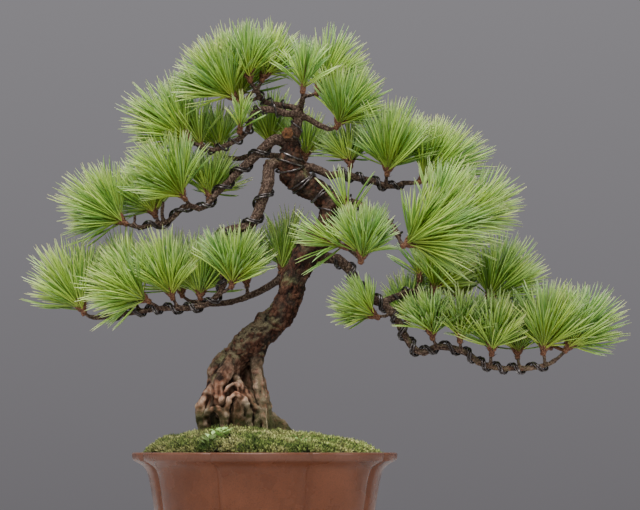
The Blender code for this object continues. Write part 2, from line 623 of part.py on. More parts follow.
def netting(side, tag):
    """Plastic mesh over a drainage hole, held down by a bent wire clip."""
    floor = FOOT_HEIGHT + FLOOR_THICKNESS
    sheet = box_cutter(f"drainage_mesh_{tag}", (MESH_SIDE, MESH_SIDE, MESH_THICKNESS))
    cutters.objects.unlink(sheet)
    sheet.hide_render = False
    sheet.display_type = "TEXTURED"
    sheet.location = (side * DRAIN_OFFSET, 0, floor + FIT_GAP + MESH_THICKNESS / 2)
    cell = MESH_SIDE / 5
    holes = new_collection(f"netting_holes_{tag}")
    for row in range(-1, 2):
        for column in range(-1, 2):
            hole = box_cutter(f"netting_hole_{tag}_{row}_{column}", (cell * 0.6, cell * 0.6, 0.01))
            cutters.objects.unlink(hole)
            holes.objects.link(hole)
            hole.location = sheet.location + Vector((column * cell, row * cell, 0))
    boolean(sheet, "DIFFERENCE", holes)
    add_part(sheet, NETTING)
    top = floor + MESH_THICKNESS + FIT_GAP * 2 + CLIP_DIAMETER / 2
    under = FOOT_HEIGHT - FIT_GAP - CLIP_DIAMETER / 2
    leg = MESH_SIDE / 5
    bar = CLIP_DIAMETER / 2
    route = [(-leg * 2.2, under, bar), (-leg, under, bar), (-leg, top, bar), (leg, top, bar),
             (leg, under, bar), (leg * 2.2, under, bar)]
    path = np.array([(side * DRAIN_OFFSET, y, z, radius) for y, z, radius in route])
    add_part(tube(f"mesh_clip_{tag}", path, 6), ALUMINIUM)


def soil_top(radius):
    """Height of the soil over the rim: a mound under the tree that falls to the wall."""
    across = radius / (POT_RADIUS * 0.9)
    return 0.016 * cos(min(across, 1.0) * pi / 2) ** 0.7 - 0.004


def soil():
    """Soil in one piece, moulded to the pot, the root plate and the netting."""
    inside = [(radius - FIT_GAP, z + FIT_GAP) for radius, z in pot_inside()[:-1]]
    edge = inside[-1][0]
    top = [(edge * part, RIM + soil_top(edge * part)) for part in (0, 0.3, 0.6, 0.8, 0.93, 0.99)]
    profile = top + inside[::-1] + [(0, inside[0][1])]
    bed = lobed(turned("soil", profile, LOBES * LOBE_STEPS))
    recesses = new_collection("netting_recesses")
    for side in (-1, 1):
        recess = box_cutter(f"netting_recess_{side}", (MESH_SIDE + 0.001, MESH_SIDE + 0.001, 0.008))
        cutters.objects.unlink(recess)
        recesses.objects.link(recess)
        recess.location = (side * DRAIN_OFFSET, 0, FOOT_HEIGHT + FLOOR_THICKNESS)
    boolean(bed, "DIFFERENCE", recesses)
    boolean(bed, "DIFFERENCE", root_pocket)
    add_part(bed, SOIL)


def root_room():
    """The room that the trunk's foot and the roots take in the soil and the moss."""
    room = new_collection("root_pocket")
    trunk = smooth(place(TRUNK), 0.013)
    foot = trunk[trunk[:, 2] < RIM + ROOT_TOP * UNIT]
    add_cutter(tube("pocket_trunk", foot, 12, grow=FIT_GAP), room)
    for name, points in ROOTS.items():
        path = smooth(place(points), 0.016)
        add_cutter(tube(f"pocket_{name}", path, 8, grow=FIT_GAP), room)
    return room


def moss():
    """A moss carpet over the soil, open round the root flare."""
    edge = pot_inside()[-2][0] - FIT_GAP * 2
    parts_across = (0.0, 0.3, 0.6, 0.8, 0.93, 0.99)
    thick = (0.011, 0.011, 0.0105, 0.0095, 0.0085, 0.0040)
    top = [(edge * part, RIM + soil_top(edge * part) + high)
           for part, high in zip(parts_across, thick)]
    bottom = [(edge * part, RIM + soil_top(edge * part) + FIT_GAP * 2) for part in parts_across]
    carpet = lobed(turned("moss_carpet", top + bottom[::-1], LOBES * LOBE_STEPS))
    for vert in carpet.data.vertices:
        x, y, z = vert.co
        if z > RIM + soil_top(np.hypot(x, y)) + 0.003:
            vert.co.z += 0.0016 * sin(x * 170 + 1) * sin(y * 150 + 2)
    opening = cylinder_cutter("root_opening", 1.0, 0.2, 32)
    opening.scale = (ROOT_REACH[0] * UNIT, ROOT_REACH[1] * UNIT, 1.0)
    opening.location = (ROOT_CENTRE[0] * UNIT, ROOT_CENTRE[1] * UNIT, RIM)
    boolean(carpet, "DIFFERENCE", opening)
    boolean(carpet, "DIFFERENCE", root_pocket)
    add_part(carpet, MOSS)


def centre_on_origin():
    """Move the model's root so that the origin is the bottom centre of its bounding box."""
    bpy.context.view_layer.update()
    graph = bpy.context.evaluated_depsgraph_get()
    corners = []
    for obj in parts.objects:
        solid = obj.evaluated_get(graph)
        corners += [obj.matrix_world @ vert.co for vert in solid.data.vertices]
    low = np.min(corners, axis=0)
    high = np.max(corners, axis=0)
    root.location = (-(low[0] + high[0]) / 2, -(low[1] + high[1]) / 2, -low[2])


clear_scene()
parts = new_collection("pine_bonsai")
cutters = new_collection("cutters")
root = bpy.data.objects.new("bonsai_root", None)
parts.objects.link(root)
limb_paths, twig_paths = grow_tree()
wood_parts = wood_shapes(limb_paths, twig_paths)
trunk_core = tube("trunk_and_branches", limb_paths["trunk"], 12)
wires(limb_paths, twig_paths)
tufts([surface(obj) for obj in (trunk_core, *wood_parts.objects, *parts.objects) if obj.data])
netting(-1, "left")
netting(1, "right")
root_pocket = root_room()
pot()
moss()
soil()
wood(trunk_core, wood_parts)
parts.objects.unlink(root)
bpy.context.scene.collection.objects.link(root)
centre_on_origin()
bpy.context.view_layer.update()
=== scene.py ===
from math import atan2, cos, pi, radians, sin, sqrt, tau

import bmesh
import bpy
import numpy as np
from mathutils import Matrix, Vector, noise
from mathutils.bvhtree import BVHTree


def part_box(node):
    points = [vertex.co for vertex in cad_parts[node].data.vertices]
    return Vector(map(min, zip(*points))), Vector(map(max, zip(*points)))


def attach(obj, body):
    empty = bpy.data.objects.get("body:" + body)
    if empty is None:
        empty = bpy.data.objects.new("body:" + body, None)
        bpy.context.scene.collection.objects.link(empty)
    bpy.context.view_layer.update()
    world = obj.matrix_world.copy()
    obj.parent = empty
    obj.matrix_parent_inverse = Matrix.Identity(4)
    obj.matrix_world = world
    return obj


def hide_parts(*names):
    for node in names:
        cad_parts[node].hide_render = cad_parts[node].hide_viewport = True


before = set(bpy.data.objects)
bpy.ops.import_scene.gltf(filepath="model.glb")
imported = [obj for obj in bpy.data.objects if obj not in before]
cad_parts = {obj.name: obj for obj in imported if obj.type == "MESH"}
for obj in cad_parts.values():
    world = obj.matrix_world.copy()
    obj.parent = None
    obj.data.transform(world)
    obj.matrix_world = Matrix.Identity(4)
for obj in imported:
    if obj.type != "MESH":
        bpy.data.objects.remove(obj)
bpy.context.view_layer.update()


# Pot. One thrown and pressed piece of fine red-brown stoneware, unglazed and burnished:
# eight shallow lobes, a rolled lip that follows them, a waisted neck and four low feet.
# It stands free on its feet, and everything else stands in it.
LOBES = 8
LOBE_RADIUS = 0.75
LOBE_OFFSET = 0.25
CREASE_WIDTH = 0.026
CREASE_DEPTH = 0.022

pot_low, pot_high = (Vector(corner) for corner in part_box("pot"))
pot_axis = (pot_low + pot_high) / 2
pot_radius = (pot_high.x - pot_low.x) / 2
pot_height = pot_high.z - pot_low.z
foot_height = 0.007
floor_height = 0.014
drain_radius = 0.009
drain_offset = 0.034


def node(tree, kind, wired=None, **settings):
    """Add a node; wired gives its inputs a value or another node's output."""
    made = tree.nodes.new(kind)
    for name, value in settings.items():
        setattr(made, name, value)
    for name, value in (wired or {}).items():
        socket = made.inputs[name]
        if isinstance(value, bpy.types.NodeSocket):
            tree.links.new(value, socket)
        else:
            socket.default_value = value
    return made


def math_node(tree, operation, first, second=0.0, third=0.0):
    return node(tree, "ShaderNodeMath", {0: first, 1: second, 2: third},
                operation=operation).outputs[0]


def times(tree, first, second):
    return math_node(tree, "MULTIPLY", first, second)


def times_plus(tree, first, second, third):
    return math_node(tree, "MULTIPLY_ADD", first, second, third)


def rising(tree, value, start, end, least=0.0, most=1.0):
    """A value carried from least at start to most at end, and held past both."""
    return node(tree, "ShaderNodeMapRange", {"Value": value, "From Min": start, "From Max": end,
                                             "To Min": least, "To Max": most}).outputs[0]


def axis_of(tree, vector, axis):
    return node(tree, "ShaderNodeSeparateXYZ", {0: vector}).outputs[axis]


def recorded(tree, name):
    """An attribute that a piece's own mesh carries."""
    return node(tree, "ShaderNodeAttribute", attribute_name=name).outputs["Fac"]


def ramp(tree, factor, *stops):
    """A colour ramp with stops of (position, colour or grey level)."""
    made = node(tree, "ShaderNodeValToRGB", {"Fac": factor})
    elements = made.color_ramp.elements
    while len(elements) < len(stops):
        elements.new(0.5)
    for element, (position, colour) in zip(elements, stops):
        element.position = position
        element.color = (*colour, 1.0) if isinstance(colour, tuple) else (colour,) * 3 + (1.0,)
    return made.outputs["Color"]


def mix(tree, factor, first, second, blend="MIX"):
    made = node(tree, "ShaderNodeMix", data_type="RGBA", blend_type=blend)
    for socket, value in ((made.inputs[0], factor), (made.inputs[6], first),
                          (made.inputs[7], second)):
        if isinstance(value, bpy.types.NodeSocket):
            tree.links.new(value, socket)
        elif isinstance(value, tuple):
            socket.default_value = (*value, 1.0)
        else:
            socket.default_value = value
    return made.outputs[2]


def finish(name, roughness=0.5, metallic=0.0, **fixed):
    """A new Principled finish: its tree, shader and the coordinates of the object."""
    made = bpy.data.materials.new(name)
    made.use_nodes = True
    tree = made.node_tree
    shader = tree.nodes["Principled BSDF"]
    shader.inputs["Roughness"].default_value = roughness
    shader.inputs["Metallic"].default_value = metallic
    for socket, value in fixed.items():
        shader.inputs[socket.replace("_", " ")].default_value = value
    where = node(tree, "ShaderNodeTexCoord").outputs["Object"]
    return made, tree, shader, where


def noise_at(tree, where, scale, detail=4.0, roughness=0.55):
    return node(tree, "ShaderNodeTexNoise", {"Vector": where, "Scale": scale, "Detail": detail,
                                             "Roughness": roughness}).outputs["Fac"]


def bump(tree, shader, height, strength, distance):
    made = node(tree, "ShaderNodeBump", {"Height": height, "Strength": strength,
                                         "Distance": distance})
    tree.links.new(made.outputs["Normal"], shader.inputs["Normal"])


def linked(name, data):
    """A new object of the data, placed in the scene."""
    obj = bpy.data.objects.new(name, data)
    bpy.context.scene.collection.objects.link(obj)
    return obj


def mesh_from(bm, name):
    """Write an edit mesh out as a new mesh and let it go."""
    mesh = bpy.data.meshes.new(name)
    bm.to_mesh(mesh)
    bm.free()
    return mesh


def scene_object(name, mesh, *materials):
    """A finished mesh as a piece at the origin, with its materials in slot order."""
    obj = linked(name, mesh)
    if mesh.materials:
        mesh.materials.clear()
    for material in materials:
        mesh.materials.append(material)
    return obj


def applied(obj):
    """Turn an object with its modifiers into a plain mesh and drop the object."""
    bpy.context.view_layer.update()
    evaluated = obj.evaluated_get(bpy.context.evaluated_depsgraph_get())
    mesh = bpy.data.meshes.new_from_object(evaluated)
    bpy.data.objects.remove(obj)
    return mesh


def piece(obj, slot, *nodes):
    """Parent a finished piece to the root body and hide the CAD nodes it stands for."""
    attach(obj, "root")
    if nodes:
        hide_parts(*nodes)


def lobe(angle):
    """The outline against the outer radius: arcs with a soft groove where they meet."""
    within = (angle + pi / LOBES) % (tau / LOBES) - pi / LOBES
    arc = LOBE_OFFSET * cos(within) + sqrt(LOBE_RADIUS ** 2 - (LOBE_OFFSET * sin(within)) ** 2)
    to_crease = pi / LOBES - abs(within)
    return arc - CREASE_DEPTH * np.exp(-(to_crease / CREASE_WIDTH) ** 2)


def rounded(points, steps=6):
    """A Catmull-Rom line through the outline's points, for a thrown profile."""
    rows = np.array(points, float)
    ends = np.vstack([2 * rows[0] - rows[1], rows, 2 * rows[-1] - rows[-2]])
    line = []
    for a, b, c, d in zip(ends, ends[1:], ends[2:], ends[3:]):
        for t in np.arange(steps) / steps:
            line.append(b + 0.5 * ((c - a) * t + (2 * a - 5 * b + 4 * c - d) * t * t
                                   + (3 * b - a - 3 * c + d) * t ** 3))
    return line + [rows[-1]]


def thrown(name, outline, steps):
    """Turn an outline of (radius, height) round the pot's axis and press in the lobes."""
    bm = bmesh.new()
    verts = [bm.verts.new((max(radius, 0.0), 0, height)) for radius, height in outline]
    edges = [bm.edges.new(pair) for pair in zip(verts, verts[1:])]
    bmesh.ops.spin(bm, geom=verts + edges, axis=(0, 0, 1), cent=(0, 0, 0), angle=tau,
                   steps=steps, use_merge=True)
    bmesh.ops.remove_doubles(bm, verts=bm.verts, dist=1e-6)
    for vert in bm.verts:
        factor = lobe(atan2(vert.co.y, vert.co.x))
        vert.co.x = vert.co.x * factor + pot_axis.x
        vert.co.y = vert.co.y * factor + pot_axis.y
    bmesh.ops.recalc_face_normals(bm, faces=bm.faces)
    return mesh_from(bm, name)


def cutter(name, size, location, spin=0.0, round_sides=0):
    """A box of the size, or a cylinder with its radius and height from the size's ends."""
    bm = bmesh.new()
    if round_sides:
        bmesh.ops.create_cone(bm, cap_ends=True, segments=round_sides, radius1=size[0],
                              radius2=size[0], depth=size[2])
    else:
        bmesh.ops.create_cube(bm, size=1.0)
        bmesh.ops.scale(bm, vec=size, verts=bm.verts)
    bmesh.ops.transform(bm, matrix=Matrix.Translation(location) @ Matrix.Rotation(spin, 4, "Z"),
                        verts=bm.verts)
    return linked(name, mesh_from(bm, name))


def fired_clay():
    """Burnished red stoneware: mottled body, a paler rim of painted light, lighter streaks of
    painted sheen, a soft even sheen.
    """
    made, tree, shader, where = finish("fired_clay", Specular_IOR_Level=0.30)
    cloudy = noise_at(tree, where, 22, 5)
    grain = noise_at(tree, where, 900, 3, 0.7)
    streak = node(tree, "ShaderNodeMapping", {"Vector": where, "Scale": (60, 60, 6)})
    burnish_streaks_and_sheen = noise_at(tree, streak.outputs[0], 3.0, 4)
    body = ramp(tree, cloudy, (0.30, (0.104, 0.030, 0.011)), (0.52, (0.152, 0.047, 0.019)),
                (0.75, (0.205, 0.072, 0.034)))
    # Painted sheen: the burnish streaks lighten the clay in vertical bands that stand in for soft
    # highlights; in the bump they are real streaks.
    body = mix(tree, times(tree, burnish_streaks_and_sheen, 0.30), body, (0.220, 0.084, 0.044))
    speck = ramp(tree, grain, (0.30, 0.6), (0.48, 1), (0.72, (1.18, 1.14, 1.1)))
    body = mix(tree, 1.0, body, speck, "MULTIPLY")
    height = axis_of(tree, where, "Z")
    near_rim = rising(tree, height, pot_height - 0.011, pot_height - 0.004)
    # Painted light: the top of the lip is made paler and pinker where it catches the overhead
    # light.
    painted_rim_light = times(tree, near_rim, math_node(tree, "ADD", cloudy, 0.1))
    body = mix(tree, times(tree, painted_rim_light, 0.75), body, (0.175, 0.088, 0.064))
    near_foot = rising(tree, height, 0.022, 0.0)
    body = mix(tree, times(tree, near_foot, 0.4), body, (0.090, 0.034, 0.020))
    tree.links.new(body, shader.inputs["Base Color"])
    gloss = ramp(tree, cloudy, (0.3, 0.22), (0.7, 0.34))
    tree.links.new(gloss, shader.inputs["Roughness"])
    height_map = times_plus(tree, grain, 0.35, burnish_streaks_and_sheen)
    bump(tree, shader, height_map, 0.25, 0.0006)
    return made


pot_outline = (
    [(0, floor_height)]
    + rounded([(0.644, 0.148), (0.690, 0.175), (0.744, 0.350), (0.784, 0.600), (0.819, 0.800),
               (0.880, 0.905), (0.902, 0.960), (0.905, 0.990)])
    + rounded([(0.912, 0.9985), (0.930, 1.0), (0.972, 1.0), (0.990, 0.998), (0.999, 0.988),
               (0.999, 0.970), (0.993, 0.935), (0.982, 0.918), (0.964, 0.906)], 4)
    + rounded([(0.955, 0.900), (0.928, 0.878), (0.902, 0.848), (0.884, 0.805), (0.872, 0.750),
               (0.858, 0.660), (0.843, 0.540), (0.826, 0.410), (0.803, 0.290), (0.775, 0.180),
               (0.750, 0.115), (0.738, 0.085)], 5)
    + [(0.735, 0.078), (0.731, 0.070), (0.730, 0.010), (0.727, 0.0), (0.644, 0.0), (0.640, 0.006),
       (0.628, foot_height / pot_height - 0.006), (0.620, foot_height / pot_height)]
    + [(0, foot_height)]
)
scaled = [(radius * pot_radius, height * pot_height) for radius, height in pot_outline[1:-1]]
pot_outline = [pot_outline[0]] + scaled + [pot_outline[-1]]
shell = linked("pot_shell", thrown("pot_shell", pot_outline, LOBES * 24))
foot_gap = (pot_radius * 2.2, pot_radius * 0.55, foot_height * 1.4)
drain = (drain_radius, 0, 0.03)
pot_cuts = [
    cutter("foot_gap_x", foot_gap, (pot_axis.x, pot_axis.y, 0)),
    cutter("foot_gap_y", foot_gap, (pot_axis.x, pot_axis.y, 0), spin=pi / 2),
    cutter("drain_left", drain, (pot_axis.x - drain_offset, pot_axis.y, 0.01), round_sides=40),
    cutter("drain_right", drain, (pot_axis.x + drain_offset, pot_axis.y, 0.01), round_sides=40),
]
for cut in pot_cuts:
    opening = shell.modifiers.new(cut.name, "BOOLEAN")
    opening.operation = "DIFFERENCE"
    opening.object = cut
edge_round = shell.modifiers.new("edge_round", "BEVEL")
edge_round.width = 0.0006
edge_round.segments = 2
edge_round.limit_method = "ANGLE"
edge_round.angle_limit = radians(50)
pot_mesh = applied(shell)
for cut in pot_cuts:
    bpy.data.objects.remove(cut)
pot_mesh.shade_smooth()
pot_mesh.set_sharp_from_angle(angle=radians(35))
pot = scene_object("clay_pot", pot_mesh, fired_clay())
piece(pot, "clay", "pot")


# Drainage netting and clips. Black moulded plastic mesh lies over each drainage hole, and a
# bent length of bare aluminium wire goes down through the hole and grips the pot from below.
def moulded_netting():
    made, tree, shader, where = finish("moulded_netting", 0.55)
    cloud = noise_at(tree, where, 300)
    tree.links.new(ramp(tree, cloud, (0.3, (0.012, 0.013, 0.013)), (0.7, (0.030, 0.032, 0.032))),
                   shader.inputs["Base Color"])
    bump(tree, shader, noise_at(tree, where, 2500), 0.2, 0.0002)
    return made


def bare_aluminium():
    made, tree, shader, where = finish("bare_aluminium", 0.36, 1.0)
    drawn = node(tree, "ShaderNodeMapping", {"Vector": where, "Scale": (4000, 200, 4000)})
    tree.links.new(ramp(tree, noise_at(tree, drawn.outputs[0], 1.0), (0.3, 0.48), (0.7, 0.66)),
                   shader.inputs["Base Color"])
    return made


netting = moulded_netting()
clip_metal = bare_aluminium()
for side in ("left", "right"):
    for name, material in ((f"drainage_mesh_{side}", netting), (f"mesh_clip_{side}", clip_metal)):
        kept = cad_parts[name]
        kept.data.materials.clear()
        kept.data.materials.append(material)


# Soil. A bed of fired-clay grit and humus packed round the root plate, almost black where it
# is damp. It fills the pot to just under the lip and carries the moss.
def damp_grit():
    made, tree, shader, where = finish("damp_grit", 0.92)
    grains = node(tree, "ShaderNodeTexVoronoi", {"Vector": where, "Scale": 420.0})
    tone = node(tree, "ShaderNodeSeparateColor", {0: grains.outputs["Color"]}).outputs[0]
    tree.links.new(ramp(tree, tone, (0.0, (0.020, 0.014, 0.009)), (0.55, (0.060, 0.040, 0.024)),
                        (0.85, (0.130, 0.085, 0.050)), (1.0, (0.200, 0.150, 0.100))),
                   shader.inputs["Base Color"])
    bump(tree, shader, math_node(tree, "SUBTRACT", 1.0, grains.outputs["Distance"]), 1.0, 0.002)
    return made


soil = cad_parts["soil"]
soil.data.materials.clear()
soil.data.materials.append(damp_grit())


# Trunk, roots and branches. One grown piece of pine: flaking red-brown plates with dark cracks
# on the trunk, smoother orange-brown roots laid bare above the soil, and thin dark bark on the
# branches. The root plate is held in the soil.
VOXEL = 0.00124
BARK_SEED = Vector((3.1, 7.7, 1.9))
WARP_SHIFTS = [Vector((shift, shift, shift)) for shift in (11.5, 53.2, 97.7)]
rim_height = pot_high.z
SAWN_FACE = np.array([pot_axis.x + 0.021, pot_axis.y - 0.014, rim_height + 0.302])
SAWN_RADIUS = 0.0066
GIRTH_REACH = 0.09
SHELTER_REACH = 0.022


def grown_mesh(name):
    """A copy of a CAD node's mesh with its corners merged, remeshed fine and eased."""
    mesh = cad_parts[name].data.copy()
    bm = bmesh.new()
    bm.from_mesh(mesh)
    bmesh.ops.remove_doubles(bm, verts=bm.verts, dist=1e-5)
    bm.to_mesh(mesh)
    bm.free()
    mesh.materials.clear()
    raw = linked(name + "_raw", mesh)
    remesh = raw.modifiers.new("skin", "REMESH")
    remesh.mode = "VOXEL"
    remesh.voxel_size = VOXEL
    ease = raw.modifiers.new("ease", "SMOOTH")
    ease.factor = 0.5
    ease.iterations = 4
    return applied(raw)


def columns(mesh, field, owner="vertices"):
    values = np.empty(len(getattr(mesh, owner)) * 3)
    getattr(mesh, owner).foreach_get(field, values)
    return values.reshape(-1, 3)


def skin_of(mesh):
    """The mesh's surface, to cast rays at."""
    return BVHTree.FromPolygons([vert.co for vert in mesh.vertices],
                                [tuple(face.vertices) for face in mesh.polygons])


def local_girth(mesh, skin, places, normals):
    """How thick the wood is under each vertex, evened out along the surface."""
    girth = np.empty(len(places))
    for index, (place, normal) in enumerate(zip(places, normals)):
        inward = -Vector(normal)
        hit = skin.ray_cast(Vector(place) + inward * 2e-4, inward, GIRTH_REACH)
        girth[index] = hit[3] if hit[3] is not None else 0.004
    edges = np.empty(len(mesh.edges) * 2, int)
    mesh.edges.foreach_get("vertices", edges)
    first, second = edges.reshape(-1, 2).T
    count = np.bincount(first, minlength=len(places)) + np.bincount(second, minlength=len(places))
    for _ in range(12):
        total = (np.bincount(first, girth[second], len(places))
                 + np.bincount(second, girth[first], len(places)))
        girth = 0.3 * girth + 0.7 * total / np.maximum(count, 1)
    return girth


def clamp(values, low=0.0, high=1.0):
    return np.minimum(np.maximum(values, low), high)


def plate_and_crack(place):
    """Flaky bark at a point: 0 in a crack to 1 on a plate, and the plate's own height."""
    warped = place + Vector([noise.noise(place * 140 + shift) for shift in WARP_SHIFTS]) * 0.0030
    stretched = Vector((warped.x * 270, warped.y * 270, warped.z * 180)) + BARK_SEED
    distances, cells = noise.voronoi(stretched)
    crack = min(1.0, (distances[1] - distances[0]) * 2.6)
    return crack, noise.cell(cells[0] * 7.3)


def shelter(skin, places, normals):
    """How much wood closes in round each vertex: 0 in the open to 1 deep in a hollow."""
    leans = [Vector((cos(k * 2.4), sin(k * 2.4), 0)) * (0.4 + 0.12 * k) for k in range(8)]
    closed = np.empty(len(places))
    for index, (place, normal) in enumerate(zip(places, normals)):
        normal = Vector(normal)
        turn = normal.to_track_quat("Z", "Y")
        start = Vector(place) + normal * 5e-4
        hits = 0
        for lean in leans:
            if skin.ray_cast(start, normal + turn @ lean, SHELTER_REACH)[0] is not None:
                hits += 1
        closed[index] = hits / len(leans)
    return closed


def barked(mesh):
    """Raise plates, cracks, ridges and lumps on the wood, and record them for the finish."""
    places = columns(mesh, "co")
    normals = columns(mesh, "vector", "vertex_normals")
    skin = skin_of(mesh)
    girth = local_girth(mesh, skin, places, normals)
    closed = shelter(skin, places, normals)
    over_rim = places[:, 2] - rim_height
    trunkness = clamp((girth - 0.0105) / 0.010)
    rootness = clamp((0.088 - over_rim) / 0.030)
    depth = np.empty(len(places))
    rise = np.empty(len(places))
    for index, row in enumerate(places):
        place = Vector(row)
        crack, flake = plate_and_crack(place)
        fine = noise.noise(place * 700)
        lump = noise.noise(place * 130 + BARK_SEED)
        swell = noise.noise(place * 42)
        ridge = noise.noise(Vector((place.x * 190, place.y * 190, place.z * 26)))
        trunk_bark = (crack ** 0.6 - 0.7) * 0.9 + flake * 0.45 + lump * 0.6
        knob = noise.noise(place * 260)
        root_bark = ridge * 0.5 + lump * 0.9 + knob * 0.8
        twig_bark = lump * 0.8 + knob * 0.8
        mixed = trunk_bark * trunkness[index] + twig_bark * (1 - trunkness[index])
        mixed = root_bark * rootness[index] + mixed * (1 - rootness[index])
        reach = 0.0005 + 0.0010 * max(trunkness[index], rootness[index])
        rise[index] = mixed * reach + fine * 0.00025 + swell * 0.0016 * trunkness[index]
        depth[index] = mixed
    places += normals * rise[:, None]
    mesh.vertices.foreach_set("co", places.ravel())
    mesh.update()
    sawn = (np.linalg.norm(places - SAWN_FACE, axis=1) < SAWN_RADIUS) & (normals[:, 1] < -0.55)
    for name, values in (("bark_height", clamp(depth * 0.5 + 0.5)), ("trunkness", trunkness),
                         ("sawn", sawn), ("rootness", rootness), ("shelter", closed)):
        layer = mesh.attributes.new(name, "FLOAT", "POINT")
        layer.data.foreach_set("value", values.astype(np.float32))
    return mesh


def pine_bark():
    """Red-brown plates on the trunk, paler roots, grey crust and moss where it stays damp."""
    made, tree, shader, where = finish("pine_bark", 0.85, Specular_IOR_Level=0.22)
    height = recorded(tree, "bark_height")
    trunk = recorded(tree, "trunkness")
    root = recorded(tree, "rootness")
    hollow = recorded(tree, "shelter")
    patch = noise_at(tree, where, 75, 5, 0.6)
    grain = noise_at(tree, where, 520, 6, 0.7)
    fleck = noise_at(tree, where, 1900, 3, 0.7)
    trunk_tone = ramp(tree, height, (0.16, (0.005, 0.003, 0.002)), (0.38, (0.022, 0.008, 0.004)),
                      (0.58, (0.058, 0.020, 0.010)), (0.85, (0.128, 0.056, 0.032)))
    level = axis_of(tree, where, "Z")
    grey = ramp(tree, patch, (0.45, 0), (0.66, 1))
    # Grey patches are real bark; their share rising up the trunk is painted light on the upper
    # trunk.
    upper_grey_and_light = rising(tree, level, rim_height + 0.19, rim_height + 0.25, 0.22, 0.52)
    trunk_tone = mix(tree, times(tree, grey, upper_grey_and_light), trunk_tone, (0.215, 0.150, 0.108))
    warm = ramp(tree, height, (0.22, (0.030, 0.012, 0.008)), (0.46, (0.310, 0.138, 0.080)),
                (0.75, (0.700, 0.450, 0.310)))
    pale = ramp(tree, height, (0.22, (0.035, 0.020, 0.014)), (0.46, (0.270, 0.182, 0.124)),
                (0.75, (0.640, 0.510, 0.380)))
    root_tone = mix(tree, grey, warm, pale)
    twig_tone = ramp(tree, grain, (0.30, (0.014, 0.009, 0.007)), (0.50, (0.085, 0.050, 0.035)),
                     (0.70, (0.330, 0.240, 0.180)))
    tone = mix(tree, trunk, twig_tone, trunk_tone)
    tone = mix(tree, root, tone, root_tone)
    speckle = ramp(tree, grain, (0.28, (0.55, 0.52, 0.50)), (0.50, 1), (0.74, (1.45, 1.40, 1.35)))
    tone = mix(tree, 0.85, tone, speckle, "MULTIPLY")
    up = axis_of(tree, node(tree, "ShaderNodeTexCoord").outputs["Normal"], "Z")
    lichen_spots = ramp(tree, noise_at(tree, where, 58, 6, 0.65), (0.54, 0), (0.64, 1))
    lichen = times(tree, lichen_spots, rising(tree, up, -0.3, 0.5))
    lichen = times(tree, times(tree, lichen, trunk), 0.75)
    lichen_tone = ramp(tree, fleck, (0.3, (0.060, 0.068, 0.020)), (0.7, (0.300, 0.300, 0.150)))
    tone = mix(tree, lichen, tone, lichen_tone)
    crust = ramp(tree, noise_at(tree, where, 150, 6, 0.7), (0.42, 0), (0.58, 1))
    shoulder = times(tree, rising(tree, level, rim_height + 0.078, rim_height + 0.094),
                     rising(tree, level, rim_height + 0.140, rim_height + 0.118))
    right_leg = times(tree, rising(tree, level, rim_height + 0.092, rim_height + 0.074),
                      rising(tree, axis_of(tree, where, "X"), pot_axis.x - 0.022,
                             pot_axis.x - 0.012))
    shoulder = times(tree, shoulder, rising(tree, up, -0.15, 0.30))
    crusted = times(tree, math_node(tree, "MAXIMUM", shoulder, right_leg), crust)
    crust_tone = ramp(tree, fleck, (0.3, (0.070, 0.056, 0.026)), (0.7, (0.330, 0.280, 0.165)))
    tone = mix(tree, times(tree, crusted, 0.80), tone, crust_tone)
    mossy = ramp(tree, noise_at(tree, where, 95, 5, 0.6), (0.42, 0.97), (0.60, 0.45))
    damp = times(tree, rising(tree, level, rim_height + 0.052, rim_height + 0.034), mossy)
    damp_tone = ramp(tree, fleck, (0.35, (0.010, 0.011, 0.004)), (0.65, (0.105, 0.110, 0.034)))
    tone = mix(tree, damp, tone, damp_tone)
    # Painted shade: the wood is darkened where it closes in round a hollow, by the shelter
    # measure.
    painted_hollow_shade = ramp(tree, hollow, (0.25, 1), (0.60, (0.42, 0.38, 0.34)),
                (0.95, (0.10, 0.09, 0.08)))
    tone = mix(tree, 1.0, tone, painted_hollow_shade, "MULTIPLY")
    cut_tone = ramp(tree, grain, (0.35, (0.045, 0.018, 0.008)), (0.65, (0.270, 0.120, 0.048)))
    tone = mix(tree, recorded(tree, "sawn"), tone, cut_tone)
    tree.links.new(tone, shader.inputs["Base Color"])
    rough = times_plus(tree, grain, 0.25, 0.68)
    tree.links.new(rough, shader.inputs["Roughness"])
    bump(tree, shader, times_plus(tree, fleck, 0.4, grain), 1.0, 0.0017)
    return made


wood = scene_object("trunk_roots_and_branches", barked(grown_mesh("trunk_and_branches")),
                    pine_bark())
wood.data.shade_smooth()
piece(wood, "bark", "trunk_and_branches")
wood_skin = skin_of(wood.data)


# Training wires. Dark anodised aluminium wire, annealed and wound on by hand in an even helix,
# two strands side by side on the heavier branches. Each is held by its own turns.
WIRE_TURN = 7
WIRE_REACH = 0.019
MAIN_WIRE = 0.0022
SECOND_WIRE = 0.0018
STRAND_STEP = 0.0026
DRAWN_IN = 0.13
RING_EDGE = 0.0030
DOUBLE_WOUND = ("left_lower", "left_middle", "right_upper", "right_lower")


